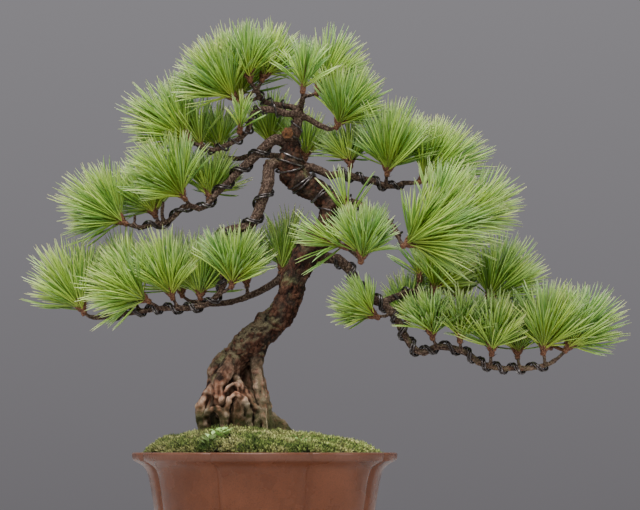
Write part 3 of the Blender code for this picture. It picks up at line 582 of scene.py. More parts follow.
def wire_line(name):
    """The centre line of a CAD wire, from the rings of four corners along its tube."""
    bm = bmesh.new()
    bm.from_mesh(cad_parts[name].data)
    bmesh.ops.remove_doubles(bm, verts=bm.verts, dist=1e-5)
    bm.verts.ensure_lookup_table()
    ring_of = {}
    for vert in bm.verts:
        if vert in ring_of:
            continue
        stack = [vert]
        label = len(set(ring_of.values()))
        ring_of[vert] = label
        while stack:
            here = stack.pop()
            for edge in here.link_edges:
                mate = edge.other_vert(here)
                if mate not in ring_of and edge.calc_length() < RING_EDGE:
                    ring_of[mate] = label
                    stack.append(mate)
    centres = {}
    beside = {}
    for vert, label in ring_of.items():
        centres.setdefault(label, []).append(vert.co)
        beside.setdefault(label, set())
        for edge in vert.link_edges:
            other = ring_of[edge.other_vert(vert)]
            if other != label:
                beside[label].add(other)
    centres = {label: sum(corners, Vector()) / len(corners) for label, corners in centres.items()}
    chain = [min(label for label in beside if len(beside[label]) == 1)]
    onward = list(beside[chain[0]])
    while onward:
        chain.append(onward[0])
        onward = [label for label in beside[chain[-1]] if label not in chain]
    line = np.array([centres[label] for label in chain])
    bm.free()
    return line


def coil_axis(line):
    """The branch's own line under a helix: each turn's mean, carried out to both ends."""
    count = len(line)
    means = np.array([line[i:i + WIRE_TURN].mean(axis=0) for i in range(count - WIRE_TURN + 1)])
    at = np.arange(count) - (WIRE_TURN - 1) / 2
    inner = np.clip(at, 0, len(means) - 1)
    axis = np.array([np.interp(inner, np.arange(len(means)), means[:, k]) for k in range(3)]).T
    lead = np.array([np.interp(inner, np.arange(len(means) - 1) + 0.5,
                               np.diff(means, axis=0)[:, k]) for k in range(3)]).T
    axis += lead * (at - inner)[:, None]
    return axis, lead / np.linalg.norm(lead, axis=1)[:, None]


def wound(name, line, thickness):
    """A round wire along a smooth line through the points."""
    curve = bpy.data.curves.new(name, "CURVE")
    curve.dimensions = "3D"
    curve.bevel_depth = thickness / 2
    curve.bevel_resolution = 3
    curve.use_fill_caps = True
    spline = curve.splines.new("POLY")
    path = rounded(line, 4)
    spline.points.add(len(path) - 1)
    for point, place in zip(spline.points, path):
        point.co = (*place, 1.0)
    return applied(linked(name, curve))


def dark_anodised():
    made, tree, shader, where = finish("dark_anodised_wire", 0.26, 0.9, Coat_Weight=0.3)
    scuffed = noise_at(tree, where, 160, 6, 0.65)
    fine = noise_at(tree, where, 1500, 3)
    tone = ramp(tree, scuffed, (0.35, (0.026, 0.018, 0.016)), (0.55, (0.110, 0.092, 0.088)),
                (0.70, (0.420, 0.400, 0.400)))
    tree.links.new(tone, shader.inputs["Base Color"])
    tree.links.new(times_plus(tree, fine, 0.25, 0.20), shader.inputs["Roughness"])
    bump(tree, shader, fine, 0.25, 0.0002)
    return made


def joined(name, *meshes):
    """One mesh of one finish from several."""
    bm = bmesh.new()
    for mesh in meshes:
        bm.from_mesh(mesh)
    return mesh_from(bm, name)


def round_trunk(guide, turns, start, thickness):
    """A wire wound on the bark along a guide line inside the trunk, laid where it touches."""
    guide = np.array(rounded(np.array(guide) * 0.001 + (pot_axis.x, pot_axis.y, rim_height), 12))
    steps = int(turns * 20)
    rows = []
    for step in range(steps + 1):
        at = step / steps * (len(guide) - 1)
        centre = Vector([np.interp(at, range(len(guide)), guide[:, k]) for k in range(3)])
        ahead = Vector(guide[min(int(at) + 1, len(guide) - 1)] - guide[max(int(at) - 1, 0)])
        ahead.normalize()
        side = ahead.cross(Vector((0, 1, 0))).normalized()
        angle = start + step / 20 * tau
        out = side * cos(angle) + side.cross(ahead) * sin(angle)
        touch = wood_skin.ray_cast(centre + out * WIRE_REACH, -out, WIRE_REACH)[0]
        reach = (touch - centre).length if touch is not None else 0.011
        rows.append([*centre, *out, reach])
    rows = np.array(rows)
    evened = np.convolve(np.pad(rows[:, 6], 2, mode="edge"), np.full(5, 0.2), mode="valid")
    evened += thickness * 0.35
    return wound("round_trunk", rows[:, :3] + rows[:, 3:6] * evened[:, None], thickness)


TRUNK_TURNS = {
    "right_middle": (((27, 0, 294), (24, 0, 278), (25, 0, 265), (37, 0, 254), (51, 0, 247),
                      (61, 0, 240)), 4.5, 0.0, 0.0021),
    "left_middle": (((24, 0, 282), (25, 0, 267), (36, 0, 255), (50, 0, 248), (61, 0, 238),
                     (62, 0, 226)), 3.5, 2.4, 0.0019),
    "left_upper": (((31, 0, 318), (28, 0, 308), (26, 0, 298), (24, 0, 284)), 2.5, 1.0, 0.0018),
}
wire_metal = dark_anodised()
for node_name in [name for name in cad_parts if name.startswith("wire_")]:
    branch = node_name.removeprefix("wire_")
    line = wire_line(node_name)
    axis, lead = coil_axis(line)
    line += (axis - line) * DRAWN_IN
    strands = [wound(node_name, line, MAIN_WIRE)]
    if branch in DOUBLE_WOUND:
        strands.append(wound(node_name, line + lead * STRAND_STEP, SECOND_WIRE))
    if branch in TRUNK_TURNS:
        strands.append(round_trunk(*TRUNK_TURNS[branch]))
    coil = scene_object(f"{branch}_training_wire", joined(node_name, *strands), wire_metal)
    coil.data.shade_smooth()
    piece(coil, "training_wire", node_name)


# Needles. Each shoot carries pairs of stiff needles in papery sheaths, set in a spiral up its
# last centimetre and open like a brush, round a scaly rust-brown stem and its winter bud.
NEEDLE_THICKNESS = 0.00145
PAIRS_PER_SHOOT = 66
SHOOT_OPENING = 0.84
USUAL_REACH = 0.058
SIDE_TWIG = 0.0034
GOLDEN_TURN = 2.39996
SIDE_SHOOTS = ((0.55, 0.82), (-0.40, 0.66))
SPARSE_SHOOTS = {"middle_right_2": 0.22, "middle_right_3": 0.45, "crown_5": 0.8,
                 "upper_left_3": 0.7, "lower_right_3": 0.6}
LONG_SHOOTS = {
    "middle_right_1": (((0.030, 0.006, 0.014), (0.060, -0.004, 0.022), 0.90),
                       ((0.022, 0.010, 0.022), (0.026, 0.010, 0.050), 0.80),
                       ((0.052, 0.012, 0.022), (0.052, 0.006, 0.040), 0.78)),
    "upper_right_3": (((0.002, 0.006, 0.006), (0.020, 0.012, 0.050), 0.80),),
    "lower_right_12": (((-0.014, 0.010, 0.004), (0.012, 0.014, 0.050), 0.85),),
    "upper_left_1": (((0.012, 0.010, -0.004), (-0.020, 0.014, 0.045), 0.75),),
}


def growing_tree(name, **sockets):
    """A Geometry Nodes tree with its inputs by name and kind, and one geometry output."""
    tree = bpy.data.node_groups.new(name, "GeometryNodeTree")
    tree.is_modifier = True
    for title, kind in sockets.items():
        tree.interface.new_socket(title.replace("_", " "), in_out="INPUT",
                                  socket_type="NodeSocket" + kind)
    tree.interface.new_socket("Geometry", in_out="OUTPUT", socket_type="NodeSocketGeometry")
    return tree, node(tree, "NodeGroupInput").outputs


def chance(tree, least, most, **wired):
    """A random value between two bounds for each element."""
    made = node(tree, "FunctionNodeRandomValue", {"Min": least, "Max": most, **wired},
                data_type="FLOAT")
    return next(socket for socket in made.outputs if socket.enabled)


def needle_pair_tree():
    """A brush of needle pairs up a shoot that stands on the origin along +Z."""
    tree, given = growing_tree(
        "needle_brush", Pairs="Int", Needle_Length="Float", Thickness="Float",
        Shoot_Length="Float", Inner_Angle="Float", Outer_Angle="Float", Seed="Int",
        Finish="Material")
    shapes = []
    for bend, splay in ((0.04, 0.07), (-0.03, 0.06), (0.07, 0.09), (0.01, 0.045)):
        for side in (-1, 1):
            middle = node(tree, "ShaderNodeCombineXYZ", {
                "X": times(tree, given["Needle Length"], -bend),
                "Y": times(tree, given["Needle Length"], side * splay * 0.75),
                "Z": times(tree, given["Needle Length"], 0.5)})
            end = node(tree, "ShaderNodeCombineXYZ", {
                "X": times(tree, given["Needle Length"], bend),
                "Y": times(tree, given["Needle Length"], side * splay),
                "Z": given["Needle Length"]})
            arc = node(tree, "GeometryNodeCurveQuadraticBezier", {
                "Resolution": 5, "Start": (0.0, side * 0.0003, 0.0),
                "Middle": middle.outputs[0], "End": end.outputs[0]})
            along = node(tree, "GeometryNodeSplineParameter").outputs["Factor"]
            marked = node(tree, "GeometryNodeStoreNamedAttribute", {
                "Geometry": arc.outputs[0], "Name": "reach", "Value": along},
                data_type="FLOAT", domain="POINT")
            taper = node(tree, "ShaderNodeFloatCurve", {"Value": along})
            points = taper.mapping.curves[0].points
            points[0].location = (0.0, 0.75)
            points[1].location = (1.0, 0.25)
            points.new(0.30, 1.0)
            points.new(0.90, 0.85)
            taper.mapping.update()
            sized = node(tree, "GeometryNodeSetCurveRadius", {
                "Curve": marked.outputs[0], "Radius": taper.outputs[0]})
            ring = node(tree, "GeometryNodeCurvePrimitiveCircle", {
                "Resolution": 3, "Radius": times(tree, given["Thickness"], 0.5)})
            blade = node(tree, "GeometryNodeCurveToMesh", {
                "Curve": sized.outputs[0], "Profile Curve": ring.outputs[0], "Fill Caps": True,
                "Scale": taper.outputs[0]})
            shapes.append(blade.outputs[0])
    pairs = node(tree, "GeometryNodeGeometryToInstance")
    for first, second in zip(shapes[::2], shapes[1::2]):
        both = node(tree, "GeometryNodeJoinGeometry")
        tree.links.new(first, both.inputs[0])
        tree.links.new(second, both.inputs[0])
        tree.links.new(both.outputs[0], pairs.inputs[0])
    index = node(tree, "GeometryNodeInputIndex").outputs[0]
    share = math_node(tree, "DIVIDE", index, given["Pairs"])
    jitter = chance(tree, -1.0, 1.0, ID=index, Seed=given["Seed"])
    wobble = chance(tree, -1.0, 1.0, ID=index, Seed=math_node(tree, "ADD", given["Seed"], 31.0))
    height = times(tree, share, given["Shoot Length"])
    spots = node(tree, "GeometryNodePoints", {
        "Count": given["Pairs"],
        "Position": node(tree, "ShaderNodeCombineXYZ", {"Z": height}).outputs[0]})
    open_angle = rising(tree, math_node(tree, "POWER", share, 0.9), 0.0, 1.0,
                        given["Outer Angle"], given["Inner Angle"])
    lean = times_plus(tree, jitter, 0.16, open_angle)
    turn = times_plus(tree, index, GOLDEN_TURN, times(tree, wobble, 0.5))
    turned = node(tree, "ShaderNodeCombineXYZ", {"X": times(tree, wobble, 0.12),
                                                 "Y": lean, "Z": turn})
    size = times_plus(tree, jitter, 0.11, 0.93)
    placed = node(tree, "GeometryNodeInstanceOnPoints", {
        "Points": spots.outputs[0], "Instance": pairs.outputs[0], "Pick Instance": True,
        "Instance Index": index, "Rotation": turned.outputs[0], "Scale": size})
    tinted = node(tree, "GeometryNodeStoreNamedAttribute", {
        "Geometry": placed.outputs[0], "Name": "tint",
        "Value": times_plus(tree, wobble, 0.5, 0.5)}, data_type="FLOAT", domain="INSTANCE")
    solid = node(tree, "GeometryNodeRealizeInstances", {"Geometry": tinted.outputs[0]})
    dressed = node(tree, "GeometryNodeSetMaterial", {"Geometry": solid.outputs[0],
                                                     "Material": given["Finish"]})
    node(tree, "NodeGroupOutput", {"Geometry": dressed.outputs[0]})
    return tree


def grown_from(tree, ground=None, **inputs):
    """The plain mesh that a Geometry Nodes tree makes, on the ground mesh if it needs one."""
    carrier = linked(tree.name, ground or bpy.data.meshes.new(tree.name))
    modifier = carrier.modifiers.new("grown", "NODES")
    modifier.node_group = tree
    for socket in tree.interface.items_tree:
        wanted = socket.name.replace(" ", "_")
        if socket.in_out == "INPUT" and wanted in inputs:
            modifier[socket.identifier] = inputs[wanted]
    return applied(carrier)


def pine_needle():
    made, tree, shader, where = finish("pine_needle", 0.42, Specular_IOR_Level=0.45)
    reach = recorded(tree, "reach")
    tint = recorded(tree, "tint")
    fresh = ramp(tree, reach, (0.0, (0.480, 0.420, 0.110)), (0.10, (0.480, 0.600, 0.090)),
                 (0.45, (0.430, 0.660, 0.100)), (0.80, (0.520, 0.740, 0.180)),
                 (0.96, (0.700, 0.820, 0.400)), (1.0, (0.700, 0.660, 0.400)))
    # Painted shade: a darker copy of the needle colour, given to a random share of pairs, stands
    # in for the shade inside the foliage.
    painted_shade_needles = ramp(tree, reach, (0.0, (0.260, 0.220, 0.050)), (0.15, (0.160, 0.270, 0.035)),
                (0.60, (0.150, 0.330, 0.048)), (0.95, (0.360, 0.540, 0.180)),
                (1.0, (0.400, 0.420, 0.220)))
    tone = mix(tree, ramp(tree, tint, (0.25, 0), (0.75, 1)), painted_shade_needles, fresh)
    broad = noise_at(tree, where, 26, 2)
    tone = mix(tree, 1.0, tone, ramp(tree, broad, (0.35, (0.96, 1.04, 1.10)),
                                     (0.65, (1.25, 1.15, 0.94))), "MULTIPLY")
    tree.links.new(tone, shader.inputs["Base Color"])
    return made


def bud_scale():
    made, tree, shader, where = finish("bud_scale", 0.7)
    flake = noise_at(tree, where, 700, 5, 0.7)
    tree.links.new(ramp(tree, flake, (0.30, (0.045, 0.014, 0.008)), (0.50, (0.170, 0.060, 0.026)),
                        (0.72, (0.420, 0.240, 0.130))), shader.inputs["Base Color"])
    bump(tree, shader, flake, 0.8, 0.0008)
    return made


def scaly_shoot(length, seed):
    """The shoot under the needles: a stem clad in small overlapping scales, and its bud."""
    rng = np.random.default_rng(seed)
    bm = bmesh.new()
    stem = [(-0.0050, 0.0024), (-0.0030, 0.0027), (0.0, 0.0026), (length * 0.5, 0.0021),
            (length, 0.0016), (length + 0.0040, 0.0019), (length + 0.0085, 0.0013),
            (length + 0.0125, 0.0003)]
    rings = []
    for height, radius in stem:
        rings.append([bm.verts.new((radius * cos(a) * rng.uniform(0.85, 1.15),
                                    radius * sin(a) * rng.uniform(0.85, 1.15), height))
                      for a in np.arange(8) * tau / 8])
    for low, high in zip(rings, rings[1:]):
        for k in range(8):
            bm.faces.new((low[k], low[(k + 1) % 8], high[(k + 1) % 8], high[k]))
    bm.faces.new(rings[0][::-1])
    bm.faces.new(rings[-1])
    for k in range(60):
        at = -0.0050 + (length + 0.0130) * k / 60
        radius = np.interp(at, *np.array(stem).T) * 0.9
        turn = k * GOLDEN_TURN
        out = Vector((cos(turn), sin(turn), 0))
        across = Vector((-sin(turn), cos(turn), 0)) * rng.uniform(0.0006, 0.0010)
        foot = out * radius + Vector((0, 0, at))
        lift = rng.uniform(0.0004, 0.0012) * (3.4 if k % 3 == 0 and k < 40 else 1.0)
        tip = foot + out * lift + Vector((0, 0, rng.uniform(0.0018, 0.0034)))
        corners = [bm.verts.new(v) for v in (foot - across, foot + across, tip,
                                             foot + out * 0.0005 + Vector((0, 0, 0.0004)))]
        bm.faces.new((corners[0], corners[1], corners[3]))
        bm.faces.new((corners[1], corners[2], corners[3]))
        bm.faces.new((corners[2], corners[0], corners[3]))
        bm.faces.new((corners[0], corners[2], corners[1]))
    return mesh_from(bm, "scaly_shoot")


def brush_axis(name):
    """Foot, direction and length of a needle tuft, read from its CAD brush."""
    corners = np.unique(np.round(columns(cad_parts[name].data, "co"), 6), axis=0)
    middle = corners.mean(axis=0)
    main = np.linalg.svd(corners - middle)[2][0]
    spread = np.linalg.norm(np.cross(corners - middle, main), axis=1)
    along = (corners - middle) @ main
    if spread[along > 0].max() < spread[along < 0].max():
        main, along = -main, -along
    foot = corners[along < along.min() + 0.0015].mean(axis=0)
    crown = corners[along > along.max() - 0.0015].mean(axis=0)
    reach = np.linalg.norm(crown - foot)
    return Vector(foot), Vector((crown - foot) / reach), reach


def with_slot(bm_target, mesh, index):
    """Add a mesh's faces under one material slot."""
    before = len(bm_target.faces)
    bm_target.from_mesh(mesh)
    bm_target.faces.ensure_lookup_table()
    for face in bm_target.faces[before:]:
        face.material_index = index


def shoot_parts(reach, opening, seed, fullness=1.0):
    """One shoot standing on the origin: its brush of needles and its scaly stem."""
    vigour = reach / USUAL_REACH
    length = 0.009 + 0.005 * vigour
    brush = grown_from(brush_tree, Pairs=int(PAIRS_PER_SHOOT * min(vigour, 1.1) * fullness),
                       Needle_Length=reach * 0.97, Thickness=NEEDLE_THICKNESS,
                       Shoot_Length=length, Inner_Angle=0.06, Outer_Angle=opening,
                       Seed=seed, Finish=needle_green)
    return brush, scaly_shoot(length, seed)


def add_shoot(bm, parts, foot, heading):
    """Stand a shoot's parts on its foot: needles in the first slot, stem in the second."""
    stand = Matrix.Translation(foot) @ heading.to_track_quat("Z", "Y").to_matrix().to_4x4()
    for index, mesh in enumerate(parts):
        standing = mesh.copy()
        standing.transform(stand)
        with_slot(bm, standing, index)


brush_tree = needle_pair_tree()
needle_green = pine_needle()
rust_scales = bud_scale()
tuft_names = sorted(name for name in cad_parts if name.startswith("needles_"))
for number, node_name in enumerate(tuft_names):
    foot, heading, reach = brush_axis(node_name)
    across = heading.cross(Vector((0, 1, 0))).normalized()
    place_name = node_name.removeprefix("needles_")
    fullness = SPARSE_SHOOTS.get(place_name, 1.0)
    bm = bmesh.new()
    opening = SHOOT_OPENING + 0.10 * sin(number * 2.3)
    add_shoot(bm, shoot_parts(reach, opening, number + 5, fullness), foot, heading)
    for offset, lean, size in LONG_SHOOTS.get(place_name, ()):
        offset = Vector(offset)
        add_shoot(bm, shoot_parts(reach * size, SHOOT_OPENING, number + 400 + int(size * 100)),
                  foot + offset, Vector(lean).normalized())
        twig = [foot - heading * 0.002, foot + offset * 0.4 - Vector((0, 0, 0.002)), foot + offset]
        with_slot(bm, wound("side_twig", np.array(twig), SIDE_TWIG), 1)
    for fork, size in SIDE_SHOOTS if place_name not in SPARSE_SHOOTS else ():
        swing = fork * (1 if number % 2 else -1)
        side = heading * cos(swing) + across * sin(swing) + Vector((0, 0.35, 0.10)) * abs(swing)
        side.normalize()
        add_shoot(bm, shoot_parts(reach * size, 0.80, number * 3 + 200 + int(size * 100)),
                  foot + side * 0.0065 - heading * 0.001, side)
    whole = bpy.data.meshes.new(node_name)
    whole.materials.append(needle_green)
    whole.materials.append(rust_scales)
    bm.to_mesh(whole)
    bm.free()
    whole.shade_smooth()
    piece(linked(node_name.replace("needles", "shoot"), whole), "needles", node_name)


# Moss. A living carpet laid on the soil up to the lip and pressed round the roots: cushions of
# short green shoots, deeper between the roots, with painted shade darkening the carpet to the
# left.
MOSS_SHOOTS = 9000
MOSS_LEAF = 0.0048
MAT_THICKNESS = 0.0015
MOSS_THICKNESS = 0.0048
MOSS_LEAN = 0.0024
MOSS_RISES = (((-0.026, -0.022), 0.003, 0.016), ((-0.044, -0.014), 0.003, 0.012))


def moss_green():
    made, tree, shader, where = finish("moss_green", 0.75)
    high = recorded(tree, "shoot_height")
    patch = noise_at(tree, where, 48, 4, 0.6)
    low_tone = ramp(tree, patch, (0.35, (0.010, 0.014, 0.003)), (0.65, (0.040, 0.034, 0.010)))
    fleck = noise_at(tree, where, 420, 2)
    high_tone = ramp(tree, patch, (0.34, (0.085, 0.180, 0.020)), (0.47, (0.340, 0.450, 0.090)),
                     (0.62, (0.760, 0.760, 0.270)))
    # Painted light: bright whitish flecks stand in for glints on the leaves, and dark flecks for
    # the shade in the gaps between shoots.
    painted_glints_and_gaps = ramp(tree, fleck, (0.38, (0.16, 0.18, 0.15)), (0.50, 1), (0.60, (2.1, 2.0, 2.4)))
    high_tone = mix(tree, 1.0, high_tone, painted_glints_and_gaps, "MULTIPLY")
    tone = mix(tree, ramp(tree, high, (0.15, 0), (0.95, 1)), low_tone, high_tone)
    # Painted shade: the carpet is darkened towards the left and left brighter towards the lit
    # right side.
    painted_side_light = rising(tree, axis_of(tree, where, "X"), pot_axis.x - 0.10, pot_axis.x + 0.06, 0.62)
    tone = mix(tree, 1.0, tone, painted_side_light, "MULTIPLY")
    tree.links.new(tone, shader.inputs["Base Color"])
    return made


def moss_shoot_tree():
    """Shoots stood at random on a surface at a given density, each a small star of leaves."""
    tree, given = growing_tree("moss_shoots", Geometry="Geometry", Density="Float",
                               Leaf_Length="Float", Seed="Int", Finish="Material")
    leaf = node(tree, "GeometryNodeMeshCone", {
        "Vertices": 3, "Side Segments": 1, "Radius Top": 0.0,
        "Radius Bottom": times(tree, given["Leaf Length"], 0.17),
        "Depth": given["Leaf Length"]}, fill_type="NONE")
    leaves = node(tree, "GeometryNodePoints", {"Count": 6})
    index = node(tree, "GeometryNodeInputIndex").outputs[0]
    leaf_turn = node(tree, "ShaderNodeCombineXYZ", {
        "Y": times_plus(tree, math_node(tree, "MODULO", index, 3.0), 0.36, 0.15),
        "Z": times(tree, index, 2.4)})
    star = node(tree, "GeometryNodeInstanceOnPoints", {
        "Points": leaves.outputs[0], "Instance": leaf.outputs["Mesh"],
        "Rotation": leaf_turn.outputs[0]})
    star = node(tree, "GeometryNodeRealizeInstances", {"Geometry": star.outputs[0]})
    lift = axis_of(tree, node(tree, "GeometryNodeInputPosition").outputs[0], "Z")
    marked = node(tree, "GeometryNodeStoreNamedAttribute", {
        "Geometry": star.outputs[0], "Name": "shoot_height",
        "Value": math_node(tree, "DIVIDE", lift, given["Leaf Length"])},
        data_type="FLOAT", domain="POINT")
    spots = node(tree, "GeometryNodeDistributePointsOnFaces", {
        "Mesh": given["Geometry"], "Density": given["Density"], "Seed": given["Seed"]})
    size = chance(tree, 0.45, 1.55, Seed=given["Seed"])
    tilt = node(tree, "FunctionNodeRandomValue", data_type="FLOAT_VECTOR")
    for socket in tilt.inputs:
        if socket.enabled and socket.name == "Min":
            socket.default_value = (-0.45, -0.45, -3.14)
        if socket.enabled and socket.name == "Max":
            socket.default_value = (0.45, 0.45, 3.14)
    tilt = next(socket for socket in tilt.outputs if socket.enabled)
    stood = node(tree, "GeometryNodeInstanceOnPoints", {
        "Points": spots.outputs["Points"], "Instance": marked.outputs[0],
        "Rotation": spots.outputs["Rotation"], "Scale": size})
    leaned = node(tree, "GeometryNodeRotateInstances", {"Instances": stood.outputs[0],
                                                        "Rotation": tilt})
    solid = node(tree, "GeometryNodeRealizeInstances", {"Geometry": leaned.outputs[0]})
    dressed = node(tree, "GeometryNodeSetMaterial", {"Geometry": solid.outputs[0],
                                                     "Material": given["Finish"]})
    node(tree, "NodeGroupOutput", {"Geometry": dressed.outputs[0]})
    return tree


moss_low, moss_high = (Vector(corner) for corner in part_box("moss_carpet"))
moss_radius = (moss_high.x - moss_low.x) / 2


def moss_level(x, y):
    """Height of the moss cushion, shoots not counted, at a place on the carpet."""
    east = x - pot_axis.x
    across = sqrt(east ** 2 + (y - pot_axis.y) ** 2) / moss_radius
    mound = 0.016 * max(cos(min(across, 1.0) * pi / 2), 0.0) ** 0.7 - 0.004
    thick = MOSS_THICKNESS - MOSS_LEAN * clamp(east / 0.05, -1.0, 1.0)
    thick *= 1 - clamp((across - 0.86) / 0.14) ** 2
    thick -= 0.003 * clamp((east - 0.085) / 0.020)
    lumps = noise.noise(Vector((x * 75, y * 75, 0.3))) * 0.0032
    lumps += noise.noise(Vector((x * 210, y * 210, 4.1))) * 0.0020
    for (rise_x, rise_y), rise, spread in MOSS_RISES:
        apart = (x - pot_axis.x - rise_x) ** 2 + (y - pot_axis.y - rise_y) ** 2
        lumps += rise * np.exp(-apart / spread ** 2)
    return rim_height + mound + thick + lumps * (1 - clamp((across - 0.8) / 0.2))


def moss_bed():
    """The cushion under the shoots, as a closed disc that fills the pot's mouth."""
    bm = bmesh.new()
    turns, rings = 160, 54
    grid = []
    for ring in range(1, rings + 1):
        share = ring / rings
        row = []
        for turn in range(turns):
            angle = turn / turns * tau
            radius = moss_radius * 0.995 * share * (lobe(angle) if share > 0.7 else 1.0)
            x = pot_axis.x + radius * cos(angle)
            y = pot_axis.y + radius * sin(angle)
            row.append(bm.verts.new((x, y, moss_level(x, y))))
        grid.append(row)
    hub = bm.verts.new((pot_axis.x, pot_axis.y, moss_level(pot_axis.x, pot_axis.y)))
    for turn in range(turns):
        bm.faces.new((hub, grid[0][turn], grid[0][(turn + 1) % turns]))
    for inner, outer in zip(grid, grid[1:]):
        for turn in range(turns):
            bm.faces.new((inner[turn], outer[turn], outer[(turn + 1) % turns],
                          inner[(turn + 1) % turns]))
    return mesh_from(bm, "moss_bed")


def without_wood(mesh):
    """Drop the bed's faces that lie inside the roots."""
    bm = bmesh.new()
    bm.from_mesh(mesh)
    inside = []
    for face in bm.faces:
        spot = face.calc_center_median()
        nearest, normal, _, distance = wood_skin.find_nearest(spot, 0.03)
        if nearest is not None and (spot - nearest).dot(normal) < 0 and distance > 0.001:
            inside.append(face)
    bmesh.ops.delete(bm, geom=inside, context="FACES")
    bm.to_mesh(mesh)
    bm.free()
    return mesh


WEEDS = (("leafy_weed_left", (pot_axis.x - 0.047, pot_axis.y - 0.086), 0.006, 0.0075, 14, 0.8),
         ("leafy_weed_middle", (pot_axis.x - 0.038, pot_axis.y - 0.074), 0.008, 0.0065, 26, 0.2),
         ("leafy_weed_right", (pot_axis.x + 0.036, pot_axis.y - 0.080), 0.008, 0.0050, 16, 0.3))
STALK_FOOT = (pot_axis.x + 0.003, pot_axis.y - 0.060)


def leafy_weed(x, y, spread, leaf, count):
    """A low clump of small oval leaves, folded along the midrib, on the moss."""
    rng = np.random.default_rng(count)
    bm = bmesh.new()
    for k in range(count):
        turn = k * 2.4
        out = Vector((cos(turn), sin(turn), rng.uniform(0.2, 0.9))).normalized()
        across = Vector((-sin(turn), cos(turn), 0))
        up = across.cross(out) * -1
        foot = Vector((x, y, 0)) + Vector((cos(turn), sin(turn), 0)) * spread * sqrt(k / count)
        foot.z = moss_level(foot.x, foot.y) + rng.uniform(0.0025, 0.0075)
        size = leaf * rng.uniform(0.7, 1.1)
        rib = [foot + out * size * part for part in (0, 0.35, 0.70, 1.0)]
        spine = [bm.verts.new(v) for v in rib]
        left, right = ([bm.verts.new(rib[row] + (across * side * width + up * 0.10) * size)
                        for row, width in ((1, 0.30), (2, 0.26))] for side in (-1, 1))
        bm.faces.new((spine[0], left[0], spine[1]))
        bm.faces.new((spine[1], left[0], left[1], spine[2]))
        bm.faces.new((spine[2], left[1], spine[3]))
        bm.faces.new((spine[0], spine[1], right[0]))
        bm.faces.new((spine[1], spine[2], right[1], right[0]))
        bm.faces.new((spine[2], spine[3], right[1]))
    return mesh_from(bm, "leafy_weed")


def weed_green(paleness):
    """Leaf green, from a fresh green to a bluish pale one."""
    made, tree, shader, where = finish("weed_green", 0.5)
    vein = noise_at(tree, where, 600, 3)
    fresh = ramp(tree, vein, (0.35, (0.160, 0.380, 0.060)), (0.65, (0.420, 0.680, 0.160)))
    pale = ramp(tree, vein, (0.35, (0.360, 0.560, 0.190)), (0.65, (0.640, 0.820, 0.380)))
    tree.links.new(mix(tree, paleness, fresh, pale), shader.inputs["Base Color"])
    return made


def weed_straw():
    made, tree, shader, where = finish("dry_straw", 0.6)
    tree.links.new(ramp(tree, noise_at(tree, where, 300), (0.3, (0.260, 0.190, 0.100)),
                        (0.7, (0.480, 0.390, 0.240))), shader.inputs["Base Color"])
    return made


moss_finish = moss_green()
shoot_tree = moss_shoot_tree()
bed = without_wood(moss_bed())
area = sum(face.area for face in bed.polygons)
carpet = grown_from(shoot_tree, bed.copy(), Density=MOSS_SHOOTS / area, Leaf_Length=MOSS_LEAF,
                    Seed=3, Finish=moss_finish)
mat = linked("moss_mat", bed)
mat.modifiers.new("felt", "SOLIDIFY").thickness = MAT_THICKNESS
mat_mesh = applied(mat)
mat_mesh.attributes.new("shoot_height", "FLOAT", "POINT")
moss = scene_object("moss_cover", joined("moss_cover", mat_mesh, carpet), moss_finish)
piece(moss, "moss", "moss_carpet")
for name, (x, y), spread, leaf, count, paleness in WEEDS:
    weed = scene_object(name, leafy_weed(x, y, spread, leaf, count), weed_green(paleness))
    piece(weed, "moss")
straw = [(STALK_FOOT[0] + lean, STALK_FOOT[1], moss_level(*STALK_FOOT) + rise)
         for lean, rise in ((0.0, 0.0), (0.0006, 0.009), (-0.0004, 0.018), (0.0, 0.026))]
stalk = scene_object("dry_stalk", wound("dry_stalk", np.array(straw), 0.0007), weed_straw())
piece(stalk, "moss")


# Floor, light and camera. A plain pale floor under a large soft overhead light with a gentle
# fill, and a long lens level with the pot's rim.
FLOOR_FULL = 0.55
FLOOR_END = 1.30


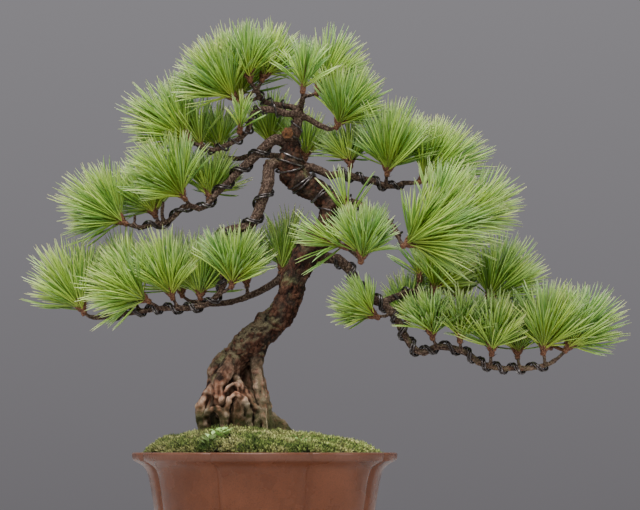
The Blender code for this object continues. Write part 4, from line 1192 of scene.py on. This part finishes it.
def pale_floor():
    """A plain pale floor that melts into the background away from the pot."""
    made, tree, shader, where = finish("pale_floor", 0.9)
    shader.inputs["Base Color"].default_value = (0.62, 0.61, 0.60, 1.0)
    away = node(tree, "ShaderNodeVectorMath", {0: where}, operation="LENGTH").outputs["Value"]
    tree.links.new(rising(tree, away, FLOOR_END, FLOOR_FULL), shader.inputs["Alpha"])
    return made


bm = bmesh.new()
bmesh.ops.create_grid(bm, x_segments=1, y_segments=1, size=1.5)
floor = scene_object("studio_floor", mesh_from(bm, "studio_floor"), pale_floor())


def softbox(name, place, target, size, power, colour=(1, 1, 1)):
    lamp = bpy.data.lights.new(name, "AREA")
    lamp.shape = "RECTANGLE"
    lamp.size, lamp.size_y = size
    lamp.energy = power
    lamp.color = colour
    made = linked(name, lamp)
    made.location = place
    made.rotation_euler = (Vector(target) - Vector(place)).to_track_quat("-Z", "Y").to_euler()
    made.visible_camera = False


tree_middle = Vector((0, 0, 0.27))
softbox("overhead", (-0.3, -0.6, 1.7), tree_middle, (1.3, 1.0), 36)
softbox("front", (-0.35, -1.9, 0.9), tree_middle, (0.9, 0.9), 13.5)
softbox("right_fill", (1.7, -0.7, 0.7), tree_middle, (0.7, 1.2), 11)
softbox("left_fill", (-1.7, -0.5, 0.6), tree_middle, (0.7, 1.2), 3)

world = bpy.data.worlds.new("studio")
world.use_nodes = True
sky = world.node_tree
upward = axis_of(sky, node(sky, "ShaderNodeTexCoord").outputs["Generated"], "Z")
backdrop = ramp(sky, rising(sky, upward, -0.04, 0.22),
                (0.0, (0.158, 0.151, 0.162)), (1.0, (0.248, 0.240, 0.256)))
sky.links.new(backdrop, sky.nodes["Background"].inputs["Color"])
bpy.context.scene.world = world

camera = bpy.data.cameras.new("camera")
camera.sensor_width = 36
camera.lens = 118.8
view = linked("camera", camera)
view.location = (pot_axis.x + 0.052, pot_axis.y - 2.0, rim_height)
aim = Vector((view.location.x, pot_axis.y, rim_height + 0.187))
view.rotation_euler = (aim - view.location).to_track_quat("-Z", "Y").to_euler()
bpy.context.scene.camera = view
